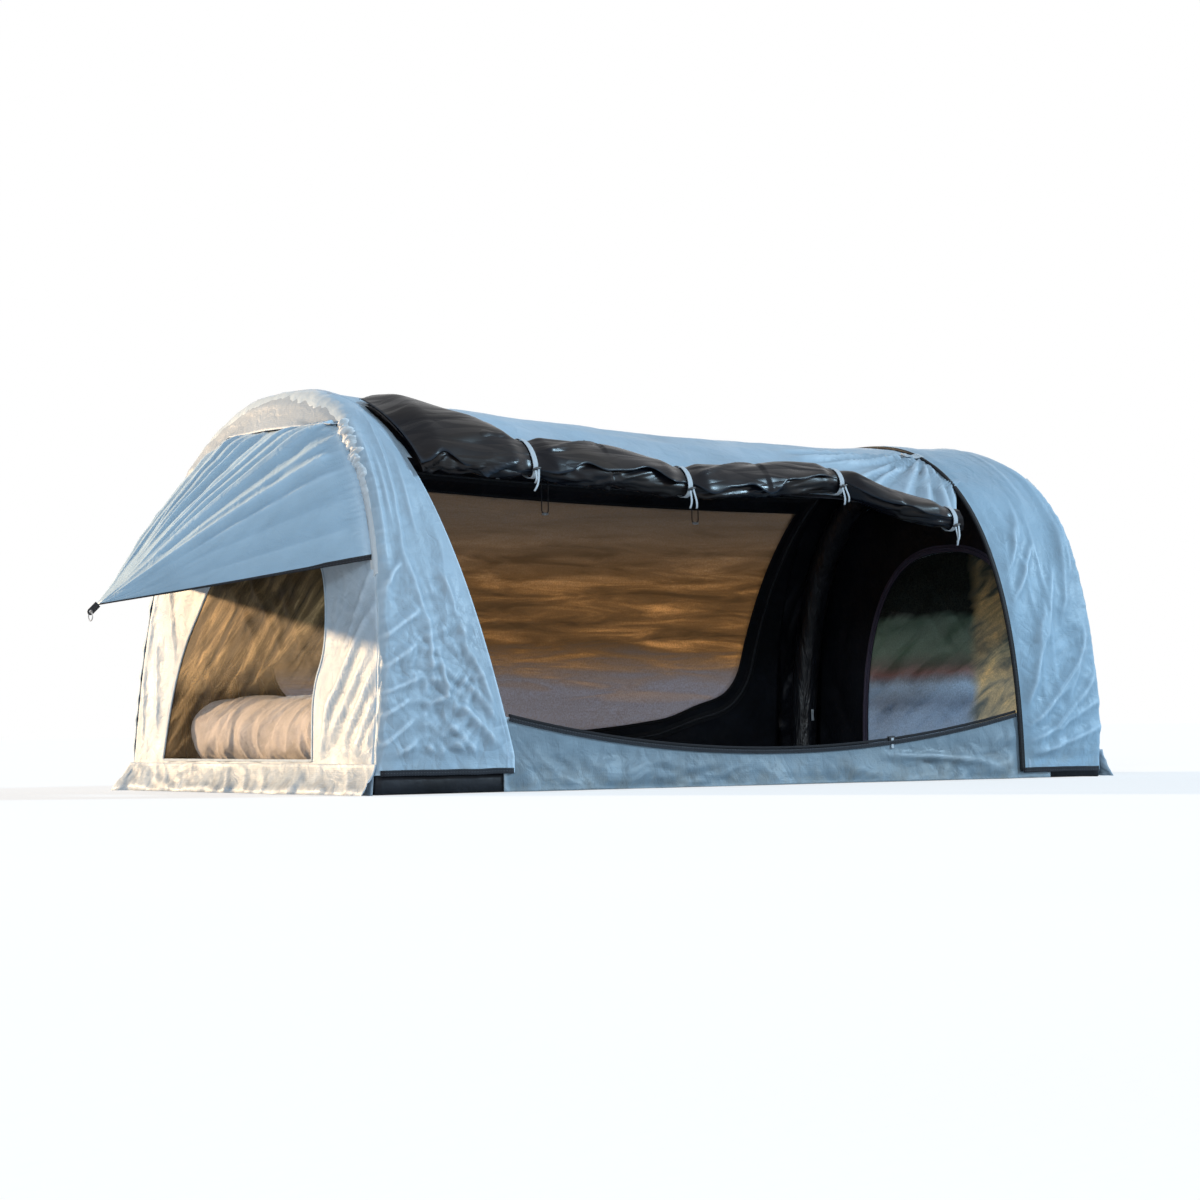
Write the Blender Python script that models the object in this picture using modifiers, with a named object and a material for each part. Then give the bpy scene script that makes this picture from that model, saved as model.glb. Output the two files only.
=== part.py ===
"""Inflatable one-person tent: two air arches, silver covers, rolled side doors and propped end awnings.

Metres, +Z up, +X from the head end to the foot end, near side at -Y. The origin is on the ground,
at the centre of the footprint. Sheets of fabric are modelled 3 mm thick.
"""

import math

import bmesh
import bpy
from mathutils import Matrix, Vector

# Overall size
LENGTH = 2.19
WIDTH = 1.20
HEAD_RIDGE = 0.956
FOOT_RIDGE = 0.882
RIDGE_SAG = 0.020
ARCH_POWER = 2.55
ARCH_STEPS = 32

# Fabric and fits
FABRIC = 0.003
GAP = 0.0003
HEAD_LAP = 0.030
FOOT_LAP = 0.150

# Covers over the two arches
HEAD_LEAN = 0.087
HEAD_COVER_DEPTH = 0.371
HEAD_COVER_TAPER = 0.254
HEAD_TAPER_START = 0.085
HEAD_HEM_HEIGHT = 0.045
FOOT_COVER_DEPTH = 0.273
FOOT_COVER_TAPER = 0.038
FOOT_HEM_HEIGHT = 0.018
COVER_COLUMNS = 3
BODY_COLUMNS = 7
PIPING_RADIUS = 0.004
PIPING_STANDOUT = 0.002
PIPING_SEAT = 0.0036
FINE_SIDES = 6
SMOOTH_ANGLE = 35.0
ROUND_SMOOTH_ANGLE = 50.0

# Floor
TUB_HEIGHT = 0.050
MAT_END_GAP = 0.135
MAT_LENGTH = LENGTH - 2 * MAT_END_GAP
MAT_WIDTH = 0.98
MAT_THICKNESS = 0.062
MAT_EDGE_RADIUS = 0.018
BOLSTER_RADIUS = 0.086
BOLSTER_LENGTH = 0.84
BOLSTER_FROM_END = 0.135
BOLSTER_FLAT = 0.012
BOLSTER_FOLDS = 9
BOLSTER_FOLD_DEPTH = 0.035
BOLSTER_FOLD_TWIST = 1.4
BOLSTER_END_SHARE = 0.35
BOLSTER_RINGS = 27
BOLSTER_SIDES = 16
SKIRT_HEIGHT = 0.070
SKIRT_SPREAD = 0.030
SKIRT_WAVES = 7
SKIRT_WAVE_DEPTH = 0.008
SKIRT_CURL = 1.5
SKIRT_STANDOFF = 0.0035
SKIRT_COLUMNS = 28
SKIRT_ROWS = 3

# End windows
WINDOW_HALF_WIDTH = 0.365
WINDOW_BASE = 0.080
WINDOW_RISE = 0.530
WINDOW_STEPS = 22
MESH_THICKNESS = 0.0015
WINDOW_ZIP_OFFSET = 0.012
WINDOW_ZIP_RADIUS = 0.003

# Awnings over the end windows
HEAD_FLAP_DEPTH = 0.091
FOOT_FLAP_DEPTH = 0.084
HEAD_FLAP_LINE = HEAD_RIDGE - HEAD_FLAP_DEPTH
FOOT_FLAP_LINE = FOOT_RIDGE - FOOT_FLAP_DEPTH
HEAD_AWNING_STOP = 0.529
FOOT_AWNING_STOP = 0.488
HEAD_AWNING_TIP = 0.443
FOOT_AWNING_TIP = 0.409
AWNING_REACH = 0.424
AWNING_SIDE_INSET = 0.020
AWNING_STANDOFF = 0.0029
AWNING_TOP_GAP = 0.0030
AWNING_TIP_WIDTH = 0.024
AWNING_COLUMNS = 40
AWNING_ROWS = 7
AWNING_PLEATS = 9
AWNING_PLEAT_DEPTH = 0.011
AWNING_SWELL_POWER = 0.6
AWNING_SWELL_LOSS = 0.5
AWNING_EDGE_FADE = 8.0
AWNING_EDGE_STEPS = 180
TAB_LENGTH = 0.034
TAB_HEIGHT = 0.016
TAB_THICKNESS = 0.0025
TAB_HOLE_RADIUS = 0.0022
TAB_ROUND_STEPS = 8
TAB_HOLE_SIDES = 12
RING_RADIUS = 0.0105
RING_WIRE = 0.0015
RING_STEPS = 16

# Air arches
BEAM_RADIUS = 0.038
HEAD_BEAM_BASE = 0.185
HEAD_BEAM_CROWN_GAP = 0.001688
HEAD_BEAM_CROWN = HEAD_LEAN * HEAD_RIDGE + BEAM_RADIUS + HEAD_BEAM_CROWN_GAP
HEAD_BEAM_TAPER = (HEAD_BEAM_BASE - HEAD_BEAM_CROWN) / HEAD_RIDGE
FOOT_BEAM_FROM_END = 0.065
BEAM_SIDES = 14
BEAM_FLAT = BEAM_RADIUS * math.cos(math.pi / BEAM_SIDES)
BEAM_FOOT_GAP = 0.003

# Valves on the air arches
VALVE_HEIGHT = 0.300
VALVE_FLANGE_RADIUS = 0.019
VALVE_FLANGE = 0.002
VALVE_COLLAR_RADIUS = 0.013
VALVE_COLLAR_HEIGHT = 0.013
VALVE_BORE_RADIUS = 0.008
VALVE_FLOOR = 0.002
VALVE_FIT = 0.0004
PIN_DISC = 0.003
PIN_BUTTON_RADIUS = 0.003
PIN_HEIGHT = 0.006
PIN_STROKE = 0.003
CAP_OVERHANG = 0.001
CAP_THICKNESS = 0.0025
CAP_HINGE_REACH = 0.005
CAP_TAB_WIDTH = 0.008
CAP_TAB_THICKNESS = 0.00175
CAP_KNUCKLE_LENGTH = 0.0096
TURN_STEPS = 20

# Side doors, as distances from the head end and angles round the arch
NEAR_ROOF_ANGLE = math.radians(50.0)
FAR_ROOF_ANGLE = math.radians(58.0)
ROOF_ANGLE_DROP = math.radians(7.0)
FOOT_DROP_START = LENGTH - 0.74
FOOT_DROP_END = LENGTH - 0.36
SILL_CENTRE = LENGTH / 2 + 0.045
SILL_RADIUS = 3.60
SILL_LOW = 0.085
PANEL_GAP = 0.0015
SIDE_LINE_STEPS = 14

# Rolled doors
ROLL_START = 0.215
ROLL_END = LENGTH - 0.375
ROLL_LOW_ANGLE = math.radians(45.5)
ROLL_HIGH_ANGLE = math.radians(56.0)
ROLL_FOOT_LOW_DROP = math.radians(6.5)
ROLL_FOOT_HIGH_DROP = math.radians(8.0)
ROLL_HEAD_SPREAD = math.radians(27.0)
ROLL_HEAD_END = 0.54
ROLL_HALF_DEPTH = 0.043
ROLL_HEAD_THINNING = 0.024
ROLL_FOOT_THINNING = 0.012
FAR_ROLL_LIFT = math.radians(8.0)
FAR_ROLL_HALF_DEPTH = 0.031
ROLL_SEAT = 0.0008
ROLL_HEAD_SEAT = 0.0030
ROLL_SIDES = 16
ROLL_STEP = 0.06
ROLL_FOLD_DEPTH = 0.005
ROLL_FOLDS = 3
ROLL_FOLD_TWIST = 55.0
ROLL_PINCH = 0.84

# Ties round the rolled doors
LAST_TIE_FROM_END = 0.055
TIE_PLACES = (0.56, 0.98, 1.42, ROLL_END - LAST_TIE_FROM_END)
TIE_WIDTH = 0.015
TIE_THICKNESS = 0.002
GROOVE_WIDTH = 0.024
GROOVE_SLOPE = 0.012
TOGGLE_RADIUS = 0.004
TOGGLE_LENGTH = 0.020
TOGGLE_LIFT = 0.003
TOGGLE_ANGLE = math.radians(140.0)
SMALL_ROD_SIDES = 10

# Mesh door in the far side, a D with its straight edge up
D_HEAD = 0.40
D_TOP_FOOT = LENGTH - 0.205
D_LOW_FOOT = LENGTH - 0.275
D_TOP_ANGLE = math.radians(53.0)
D_SILL_LIFT = 0.040
D_CORNER = 0.12
D_ZIP_OFFSET = 0.035
D_ZIP_WIDTH = 0.010
D_ZIP_THICKNESS = 0.0025
D_TOP_STEPS = 6
D_CORNER_STEPS = 5
D_SILL_STRIDE = 5

# Sill zip, its slider and pull
TRACK_HEIGHT = 0.008
TRACK_THICKNESS = 0.004
TRACK_INSET = 0.0045
TRACK_END_GAP = 0.004
TRACK_STEP = 0.05
SLIDER_PLACE = 1.49
SLIDER_LENGTH = 0.018
SLIDER_PLATE = 0.0018
SLIDER_FIT = 0.0004
SLIDER_CAP = 0.003
PULL_WIDTH = 0.008
PULL_LENGTH = 0.026
PULL_THICKNESS = 0.0015
PULL_HINGE_HEIGHT = 0.0072

# Small pieces
LOOP_PLACES = (0.59, 1.06, 1.55)
LOOP_ANGLE = math.radians(66.0)
LOOP_WIDTH = 0.024
LOOP_HEIGHT = 0.055
LOOP_STRAP = 0.003
LOOP_DEPTH = 0.0022
LOOP_BEAD_RADIUS = 0.004
LOOP_BEAD_LENGTH = 0.0192
LOOP_SIDES = 16
SLEEVE_PULL_HEIGHT = 0.185
SLEEVE_PULL_LENGTH = 0.032
SLEEVE_PULL_WIDTH = 0.009
SLEEVE_PULL_THICKNESS = 0.002
RIDGE_TAB_PLACE = LENGTH - 0.348
RIDGE_TAB_LENGTH = 0.060
RIDGE_TAB_WIDTH = 0.028
RIDGE_TAB_THICKNESS = 0.002
RIDGE_TAB_SEGMENT = 11
RIDGE_TAB_SEAT = 0.0006

# Colour, roughness, metallic
FINISHES = {
    "silver_fabric": ((0.46, 0.55, 0.64), 0.55, 0.0),
    "black_lining": ((0.012, 0.012, 0.014), 0.45, 0.0),
    "insect_mesh": ((0.16, 0.10, 0.04), 0.65, 0.0),
    "air_tube": ((0.02, 0.02, 0.022), 0.50, 0.0),
    "ground_fabric": ((0.015, 0.015, 0.017), 0.60, 0.0),
    "webbing": ((0.50, 0.52, 0.55), 0.70, 0.0),
    "zip": ((0.03, 0.03, 0.035), 0.40, 0.0),
    "valve_plastic": ((0.08, 0.08, 0.09), 0.35, 0.0),
    "bedding": ((0.42, 0.38, 0.37), 0.85, 0.0),
    "steel": ((0.55, 0.55, 0.55), 0.30, 1.0),
}

PARTS = "inflatable_tent"
CUTTERS = "cutters"


def clear_scene():
    for obj in list(bpy.data.objects):
        bpy.data.objects.remove(obj, do_unlink=True)
    for name in (PARTS, CUTTERS):
        collection = bpy.data.collections.new(name)
        bpy.context.scene.collection.children.link(collection)
    bpy.data.collections[CUTTERS].hide_render = True


def finish(name):
    material = bpy.data.materials.get(name)
    if material is None:
        colour, roughness, metallic = FINISHES[name]
        material = bpy.data.materials.new(name)
        material.use_nodes = True
        shader = material.node_tree.nodes["Principled BSDF"]
        shader.inputs["Base Color"].default_value = (*colour, 1.0)
        shader.inputs["Roughness"].default_value = roughness
        shader.inputs["Metallic"].default_value = metallic
    return material


def add_part(name, data, material):
    obj = bpy.data.objects.new(name, data)
    if material:
        obj.data.materials.append(finish(material))
    bpy.data.collections[PARTS].objects.link(obj)
    return obj


def as_cutter(obj):
    bpy.data.collections[PARTS].objects.unlink(obj)
    bpy.data.collections[CUTTERS].objects.link(obj)
    obj.hide_render = True
    obj.display_type = "WIRE"
    return obj


def baked(obj):
    """The object as a plain mesh: its modifiers or its curve made real, with the caps welded."""
    bpy.context.view_layer.update()
    shape = bpy.data.meshes.new_from_object(obj.evaluated_get(bpy.context.evaluated_depsgraph_get()))
    mesh = bmesh.new()
    mesh.from_mesh(shape)
    bmesh.ops.remove_doubles(mesh, verts=mesh.verts, dist=0.00001)
    mesh.to_mesh(shape)
    mesh.free()
    name = obj.name
    new = bpy.data.objects.new(name, shape)
    new.matrix_world = obj.matrix_world.copy()
    for collection in obj.users_collection:
        collection.objects.link(new)
    bpy.data.objects.remove(obj, do_unlink=True)
    new.name = name
    return new


def combine(obj, other, operation):
    """One Boolean of two meshes, made real at once."""
    step = obj.modifiers.new(operation, "BOOLEAN")
    step.operation = operation
    step.solver = "EXACT"
    step.object = other
    return baked(obj)


def smooth(obj, angle=SMOOTH_ANGLE):
    obj.data.shade_smooth()
    obj.data.set_sharp_from_angle(angle=math.radians(angle))
    return obj


def origin_on(obj, point):
    """Moves the object's origin to a point on its joint's axis, leaving its shape in place."""
    obj.data.transform(Matrix.Translation(-point) @ obj.matrix_world)
    obj.matrix_world = Matrix.Translation(point)
    return obj


def sheet(name, columns, rows, place, thickness, material, flip=False):
    """A grid laid out by place(column, row) as an outer face, thickened inwards."""
    mesh = bmesh.new()
    bmesh.ops.create_grid(mesh, x_segments=columns, y_segments=rows, size=0.5)
    for vertex in mesh.verts:
        column = round((vertex.co.x + 0.5) * columns)
        row = round((vertex.co.y + 0.5) * rows)
        vertex.co = place(column, row)
    if flip:
        bmesh.ops.reverse_faces(mesh, faces=mesh.faces)
    data = bpy.data.meshes.new(name)
    mesh.to_mesh(data)
    mesh.free()
    obj = add_part(name, data, material)
    shell = obj.modifiers.new("fabric", "SOLIDIFY")
    shell.thickness = thickness
    shell.offset = -1.0
    return smooth(baked(obj))


def plate(name, outlines, thickness, matrix, material):
    """A flat plate from closed outlines, the second one a hole, centred on the matrix's XY plane."""
    curve = bpy.data.curves.new(name, "CURVE")
    curve.dimensions = "2D"
    curve.fill_mode = "BOTH"
    curve.extrude = thickness / 2
    for outline in outlines:
        spline = curve.splines.new("POLY")
        spline.points.add(len(outline) - 1)
        for point, (x, y) in zip(spline.points, outline):
            point.co = (x, y, 0.0, 1.0)
        spline.use_cyclic_u = True
    obj = add_part(name, curve, material)
    obj.matrix_world = matrix
    return baked(obj)


def tube(name, points, radius, material, sides=FINE_SIDES, closed=False):
    curve = bpy.data.curves.new(name, "CURVE")
    curve.dimensions = "3D"
    curve.bevel_depth = radius
    curve.bevel_resolution = sides // 2 - 2
    curve.use_fill_caps = not closed
    spline = curve.splines.new("POLY")
    spline.points.add(len(points) - 1)
    for place, point in zip(spline.points, points):
        place.co = (*point, 1.0)
    spline.use_cyclic_u = closed
    return smooth(baked(add_part(name, curve, material)))


def loft(name, rings, material, loop=False):
    """A skin over closed rings of as many points each, capped at both ends or closed on itself."""
    mesh = bmesh.new()
    rows = [[mesh.verts.new(point) for point in ring] for ring in rings]
    count = len(rings[0])
    spans = len(rows) if loop else len(rows) - 1
    for index in range(spans):
        here, there = rows[index], rows[(index + 1) % len(rows)]
        for side in range(count):
            after = (side + 1) % count
            mesh.faces.new((here[side], here[after], there[after], there[side]))
    if not loop:
        mesh.faces.new(rows[0])
        mesh.faces.new(rows[-1])
    bmesh.ops.recalc_face_normals(mesh, faces=mesh.faces)
    data = bpy.data.meshes.new(name)
    mesh.to_mesh(data)
    mesh.free()
    return smooth(add_part(name, data, material), ROUND_SMOOTH_ANGLE)


def block(name, size, matrix, material, edge=0.0):
    mesh = bmesh.new()
    bmesh.ops.create_cube(mesh, size=1.0, matrix=Matrix.Diagonal((*size, 1.0)))
    data = bpy.data.meshes.new(name)
    mesh.to_mesh(data)
    mesh.free()
    obj = add_part(name, data, material)
    obj.matrix_world = matrix
    if edge:
        bevel = obj.modifiers.new("edge", "BEVEL")
        bevel.width = edge
        bevel.segments = 2
        obj = baked(obj)
    return obj


def turned(name, profile, matrix, material):
    """A profile of (radius, height), turned about the matrix's Z axis."""
    data = bpy.data.meshes.new(name)
    edges = [(index, index + 1) for index in range(len(profile) - 1)]
    data.from_pydata([(radius, 0.0, height) for radius, height in profile], edges, [])
    obj = add_part(name, data, material)
    screw = obj.modifiers.new("turn", "SCREW")
    screw.steps = TURN_STEPS
    screw.render_steps = TURN_STEPS
    screw.use_merge_vertices = True
    screw.merge_threshold = 0.0001
    obj.matrix_world = matrix
    return smooth(baked(obj))


def rod(name, radius, length, matrix, material):
    """A round bar centred on the matrix's origin, along its X axis."""
    mesh = bmesh.new()
    turn = Matrix.Rotation(math.pi / 2, 4, "Y")
    bmesh.ops.create_cone(mesh, cap_ends=True, segments=SMALL_ROD_SIDES, radius1=radius, radius2=radius,
                          depth=length, matrix=turn)
    data = bpy.data.meshes.new(name)
    mesh.to_mesh(data)
    mesh.free()
    obj = add_part(name, data, material)
    obj.matrix_world = matrix
    return obj


def frame(origin, x_axis, z_axis):
    """A placement with its Z axis along z_axis and its X axis as near x_axis as that allows."""
    up = Vector(z_axis).normalized()
    side = up.cross(Vector(x_axis)).normalized()
    across = side.cross(up)
    return Matrix.LocRotScale(Vector(origin), Matrix((across, side, up)).transposed(), None)


def at(distance):
    """The X of a distance from the head end."""
    return distance - LENGTH / 2


def ease(value, start, stop):
    """0 before start, 1 after stop, and a smooth step between."""
    share = min(max((value - start) / (stop - start), 0.0), 1.0)
    return share * share * (3 - 2 * share)


def arch(angle, ridge, inset=0.0):
    """A point (y, z) of the arch section, from the near base at 0 to the far base at pi."""
    share = 2 / ARCH_POWER
    across = math.cos(angle)
    rise = max(math.sin(angle), 0.0)
    half = WIDTH / 2 - inset
    return -half * math.copysign(abs(across) ** share, across), (ridge - inset) * rise ** share


def arch_normal(angle):
    """The outward direction (y, z) of the section, for the mean ridge."""
    ridge = (HEAD_RIDGE + FOOT_RIDGE) / 2
    y, z = arch(angle, ridge)
    half = WIDTH / 2
    out = Vector((math.copysign(abs(y / half) ** (ARCH_POWER - 1), y) / half,
                  (z / ridge) ** (ARCH_POWER - 1) / ridge))
    return out.normalized()


def arch_line(ridge, inset=0.0, low=0.0):
    """The faceted section as points (y, z), its two ends cut level at the height low."""
    points = [arch(index * math.pi / ARCH_STEPS, ridge, inset) for index in range(ARCH_STEPS + 1)]
    points[0] = level_point(points[0], points[1], low)
    points[-1] = level_point(points[-1], points[-2], low)
    return points


def level_point(lower, upper, height):
    """The point at a height on the straight line from lower to upper."""
    share = (height - lower[1]) / (upper[1] - lower[1])
    return lower[0] + share * (upper[0] - lower[0]), height


class End:
    """One end of the tent. Its outward direction is sign along X."""

    def __init__(self, name, sign, ridge, hem, flap_line, stop, tip):
        self.name = name
        self.sign = sign
        self.ridge = ridge
        self.hem = hem
        self.flap_line = flap_line
        self.stop = stop
        self.tip = tip

    def lean(self):
        return HEAD_LEAN if self.sign < 0 else 0.0

    def wall_x(self, height):
        return at(self.lean() * height) if self.sign < 0 else at(LENGTH)

    def edge_x(self, height):
        if self.sign < 0:
            return at(HEAD_COVER_DEPTH - HEAD_COVER_TAPER * max(height - HEAD_TAPER_START, 0.0))
        return at(LENGTH - FOOT_COVER_DEPTH - FOOT_COVER_TAPER * height)

    def beam_x(self, height):
        if self.sign < 0:
            return at(HEAD_BEAM_BASE - HEAD_BEAM_TAPER * height)
        return at(LENGTH - FOOT_BEAM_FROM_END)

    def beam_inset(self):
        """The head beam also lies inside the body's lap; the foot beam lies in its cover alone."""
        if self.sign < 0:
            return 2 * (FABRIC + GAP) + BEAM_RADIUS
        return FABRIC + GAP + BEAM_FLAT

    def beam_line(self):
        """The beam's centre line (y, z), its legs standing just clear of the tub."""
        return arch_line(self.ridge, self.beam_inset(), TUB_HEIGHT + BEAM_FOOT_GAP)

    def plane(self, depth):
        """The end wall's plane, at a depth inwards from its outer face: X along Y, Y up, Z inwards."""
        up = Vector((self.lean(), 0.0, 1.0)).normalized()
        inward = Vector((-self.sign, 0.0, self.sign * self.lean())).normalized()
        across = up.cross(inward)
        turn = Matrix((across, up, inward)).transposed()
        foot = Vector((self.wall_x(0.0), 0.0, 0.0))
        return Matrix.LocRotScale(foot + inward * depth, turn, None), across.y

    def in_plane(self, points, depth):
        """Points (y, z) as a flat outline on the wall's plane, with the placement to use."""
        placement, side = self.plane(depth)
        stretch = math.hypot(1.0, self.lean())
        return [(y * side, z * stretch) for y, z in points], placement


HEAD = End("head", -1, HEAD_RIDGE, HEAD_HEM_HEIGHT, HEAD_FLAP_LINE, HEAD_AWNING_STOP, HEAD_AWNING_TIP)
FOOT = End("foot", 1, FOOT_RIDGE, FOOT_HEM_HEIGHT, FOOT_FLAP_LINE, FOOT_AWNING_STOP, FOOT_AWNING_TIP)


def ridge_at(share):
    """The ridge height of the body at a share of the way from the head cover to the foot cover."""
    return HEAD_RIDGE + share * (FOOT_RIDGE - HEAD_RIDGE) - RIDGE_SAG * 4 * share * (1 - share)


def body_point(distance, angle, inset):
    """A point on the body skin at a distance from the head end and an angle round the arch."""
    x = at(distance)
    start = HEAD.edge_x(arch(angle, HEAD_RIDGE, inset)[1])
    stop = FOOT.edge_x(arch(angle, FOOT_RIDGE, inset)[1])
    share = min(max((x - start) / (stop - start), 0.0), 1.0)
    return Vector((x, *arch(angle, ridge_at(share), inset)))


def body_sheet(name, inset, thickness, material):
    """The whole skin between the covers, with a lap under each of them."""
    shares = [index / BODY_COLUMNS for index in range(BODY_COLUMNS + 1)]
    columns = [(HEAD_RIDGE, 0.0, -HEAD_LAP)]
    columns += [(ridge_at(share), share, 0.0) for share in shares]
    columns += [(FOOT_RIDGE, 1.0, FOOT_LAP)]
    head_line, foot_line = arch_line(HEAD_RIDGE, inset), arch_line(FOOT_RIDGE, inset)
    lines = [arch_line(ridge, inset) for ridge, _, _ in columns]

    def place(column, row):
        _, share, shift = columns[column]
        start = HEAD.edge_x(head_line[row][1])
        stop = FOOT.edge_x(foot_line[row][1])
        y, z = lines[column][row]
        return Vector((start + share * (stop - start) + shift, y, z))

    return sheet(name, len(columns) - 1, ARCH_STEPS, place, thickness, material)


def side_prism(name, outline, side):
    """A cutter with an outline (x, z), from the middle plane out past one side."""
    placement = Matrix.Translation((0.0, side * WIDTH / 2, 0.0)) @ Matrix.Rotation(math.pi / 2, 4, "X")
    return as_cutter(plate(name, [outline], WIDTH, placement, None))


def edge_heights(angle_at, start, stop, steps=SIDE_LINE_STEPS):
    """The line (x, z) that an angle round the body makes in side view."""
    distances = [start + (stop - start) * index / steps for index in range(steps + 1)]
    points = [body_point(distance, angle_at(distance), FABRIC + GAP) for distance in distances]
    return [(point.x, point.z) for point in points]


def foot_drop(distance):
    return ease(distance, FOOT_DROP_START, FOOT_DROP_END)


def near_roof_angle(distance):
    return NEAR_ROOF_ANGLE - ROOF_ANGLE_DROP * foot_drop(distance)


def far_roof_angle(_distance):
    return math.pi - FAR_ROOF_ANGLE


def sill_height(x, radius=SILL_RADIUS):
    """The height of the near door's curved sill, an arc with its centre above the door."""
    centre_x, centre_z = sill_centre()
    return centre_z - math.sqrt(radius ** 2 - (x - centre_x) ** 2)


def sill_centre():
    return at(SILL_CENTRE), SILL_LOW + SILL_RADIUS


def sill_line(start, stop, radius):
    steps = math.ceil((stop - start) / TRACK_STEP)
    places = [start + (stop - start) * index / steps for index in range(steps + 1)]
    return [(x, sill_height(x, radius)) for x in places]


def roof_panel():
    beyond = LENGTH / 2 + FOOT_LAP
    below = -SILL_LOW
    cuts = []
    for label, side, angle_at in (("near", -1, near_roof_angle), ("far", 1, far_roof_angle)):
        line = edge_heights(angle_at, 0.0, LENGTH)
        line = [(-beyond, line[0][1])] + line + [(beyond, line[-1][1])]
        cuts.append(side_prism(label + "_roof_cut", line + [(beyond, below), (-beyond, below)], side))
    panel = body_sheet("roof_panel", FABRIC + GAP, FABRIC, "silver_fabric")
    for cut in cuts:
        panel = combine(panel, cut, "DIFFERENCE")
    return smooth(panel)


def near_sill_panel():
    line = sill_line(-LENGTH / 2, LENGTH / 2, SILL_RADIUS + GAP)
    below = -SILL_LOW
    outline = line + [(LENGTH / 2, below), (-LENGTH / 2, below)]
    cut = side_prism("sill_outline", outline, -1)
    panel = body_sheet("near_sill_panel", FABRIC + GAP, FABRIC, "silver_fabric")
    return smooth(combine(panel, cut, "INTERSECT"))


def d_outline(grow):
    """The far mesh door in side view: a level top and a curved sill, with round lower corners."""
    top = edge_heights(lambda _distance: math.pi - D_TOP_ANGLE, D_HEAD, D_TOP_FOOT, D_TOP_STEPS)
    top = [(x, z + grow) for x, z in top]
    top[0] = (top[0][0] - grow, top[0][1])
    top[-1] = (top[-1][0] + grow, top[-1][1])
    left, right = at(D_HEAD) - grow, at(D_LOW_FOOT) + grow
    low_left = sill_height(at(D_HEAD)) + D_SILL_LIFT - grow
    low_right = sill_height(at(D_LOW_FOOT)) + D_SILL_LIFT - grow
    corner = D_CORNER + grow
    turns = [index / D_CORNER_STEPS * math.pi / 2 for index in range(D_CORNER_STEPS + 1)]
    outline = list(top)
    for turn in turns:
        outline.append((right - corner + corner * math.cos(turn),
                        low_right + corner - corner * math.sin(turn)))
    sill = sill_line(left + 2 * corner, right - 2 * corner, SILL_RADIUS)
    for x, z in reversed(sill[1:-1:D_SILL_STRIDE]):
        outline.append((x, z + D_SILL_LIFT - grow))
    for turn in turns:
        outline.append((left + corner - corner * math.sin(turn),
                        low_left + corner - corner * math.cos(turn)))
    return outline


def far_door():
    inset = FABRIC + GAP
    line = edge_heights(far_roof_angle, 0.0, LENGTH)
    beyond = LENGTH / 2 + FOOT_LAP
    line = [(-beyond, line[0][1])] + line + [(beyond, line[-1][1])]
    outline = [(x, z - PANEL_GAP) for x, z in line]
    below = -SILL_LOW
    lower = side_prism("far_door_outline", outline + [(beyond, below), (-beyond, below)], 1)
    hole = side_prism("far_mesh_hole", d_outline(0.0), 1)
    fill = side_prism("far_mesh_outline", d_outline(-GAP), 1)
    panel = body_sheet("far_door_panel", inset, FABRIC, "silver_fabric")
    panel = combine(panel, lower, "INTERSECT")
    smooth(combine(panel, hole, "DIFFERENCE"))
    mesh = body_sheet("far_door_mesh", inset, MESH_THICKNESS, "insect_mesh")
    smooth(combine(mesh, fill, "INTERSECT"))
    band = side_prism("far_zip_outside", d_outline(D_ZIP_OFFSET + D_ZIP_WIDTH), 1)
    inside = side_prism("far_zip_inside", d_outline(D_ZIP_OFFSET), 1)
    zip_band = body_sheet("far_door_zip", inset + FABRIC + GAP, D_ZIP_THICKNESS, "zip")
    zip_band = combine(zip_band, band, "INTERSECT")
    smooth(combine(zip_band, inside, "DIFFERENCE"))


def cover(end):
    line = arch_line(end.ridge, 0.0, end.hem)

    def place(column, row):
        y, z = line[row]
        share = column / COVER_COLUMNS
        start, stop = sorted((end.wall_x(z), end.edge_x(z)))
        return Vector((start + share * (stop - start), y, z))

    return sheet(end.name + "_cover", COVER_COLUMNS, ARCH_STEPS, place, FABRIC, "silver_fabric")


def foot_edge_piping():
    line = arch_line(FOOT.ridge, -PIPING_STANDOUT, FOOT.hem)
    points = [Vector((FOOT.edge_x(z) - PIPING_SEAT, y, z)) for y, z in line]
    return tube("foot_edge_piping", points, PIPING_RADIUS, "black_lining")


def window_outline(grow):
    """The end window: an arch of the tent's own section over a level sill."""
    share = 2 / ARCH_POWER
    points = []
    for index in range(WINDOW_STEPS + 1):
        angle = index * math.pi / WINDOW_STEPS
        across = math.cos(angle)
        y = -(WINDOW_HALF_WIDTH + grow) * math.copysign(abs(across) ** share, across)
        z = WINDOW_BASE - grow + (WINDOW_RISE + 2 * grow) * max(math.sin(angle), 0.0) ** share
        points.append((y, z))
    return points


def end_wall(end):
    edge, placement = end.in_plane(arch_line(end.ridge, FABRIC + GAP), FABRIC / 2)
    hole, _ = end.in_plane(window_outline(0.0), FABRIC / 2)
    plate(end.name + "_end_wall", [edge, hole], FABRIC, placement, "silver_fabric")
    pane, placement = end.in_plane(window_outline(-GAP), FABRIC / 2)
    plate(end.name + "_window_mesh", [pane], MESH_THICKNESS, placement, "insect_mesh")
    depth = FABRIC + GAP + WINDOW_ZIP_RADIUS
    line, placement = end.in_plane(window_outline(WINDOW_ZIP_OFFSET), depth)
    points = [placement @ Vector((x, y, 0.0)) for x, y in line]
    return tube(end.name + "_window_zip", points, WINDOW_ZIP_RADIUS, "zip")


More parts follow.
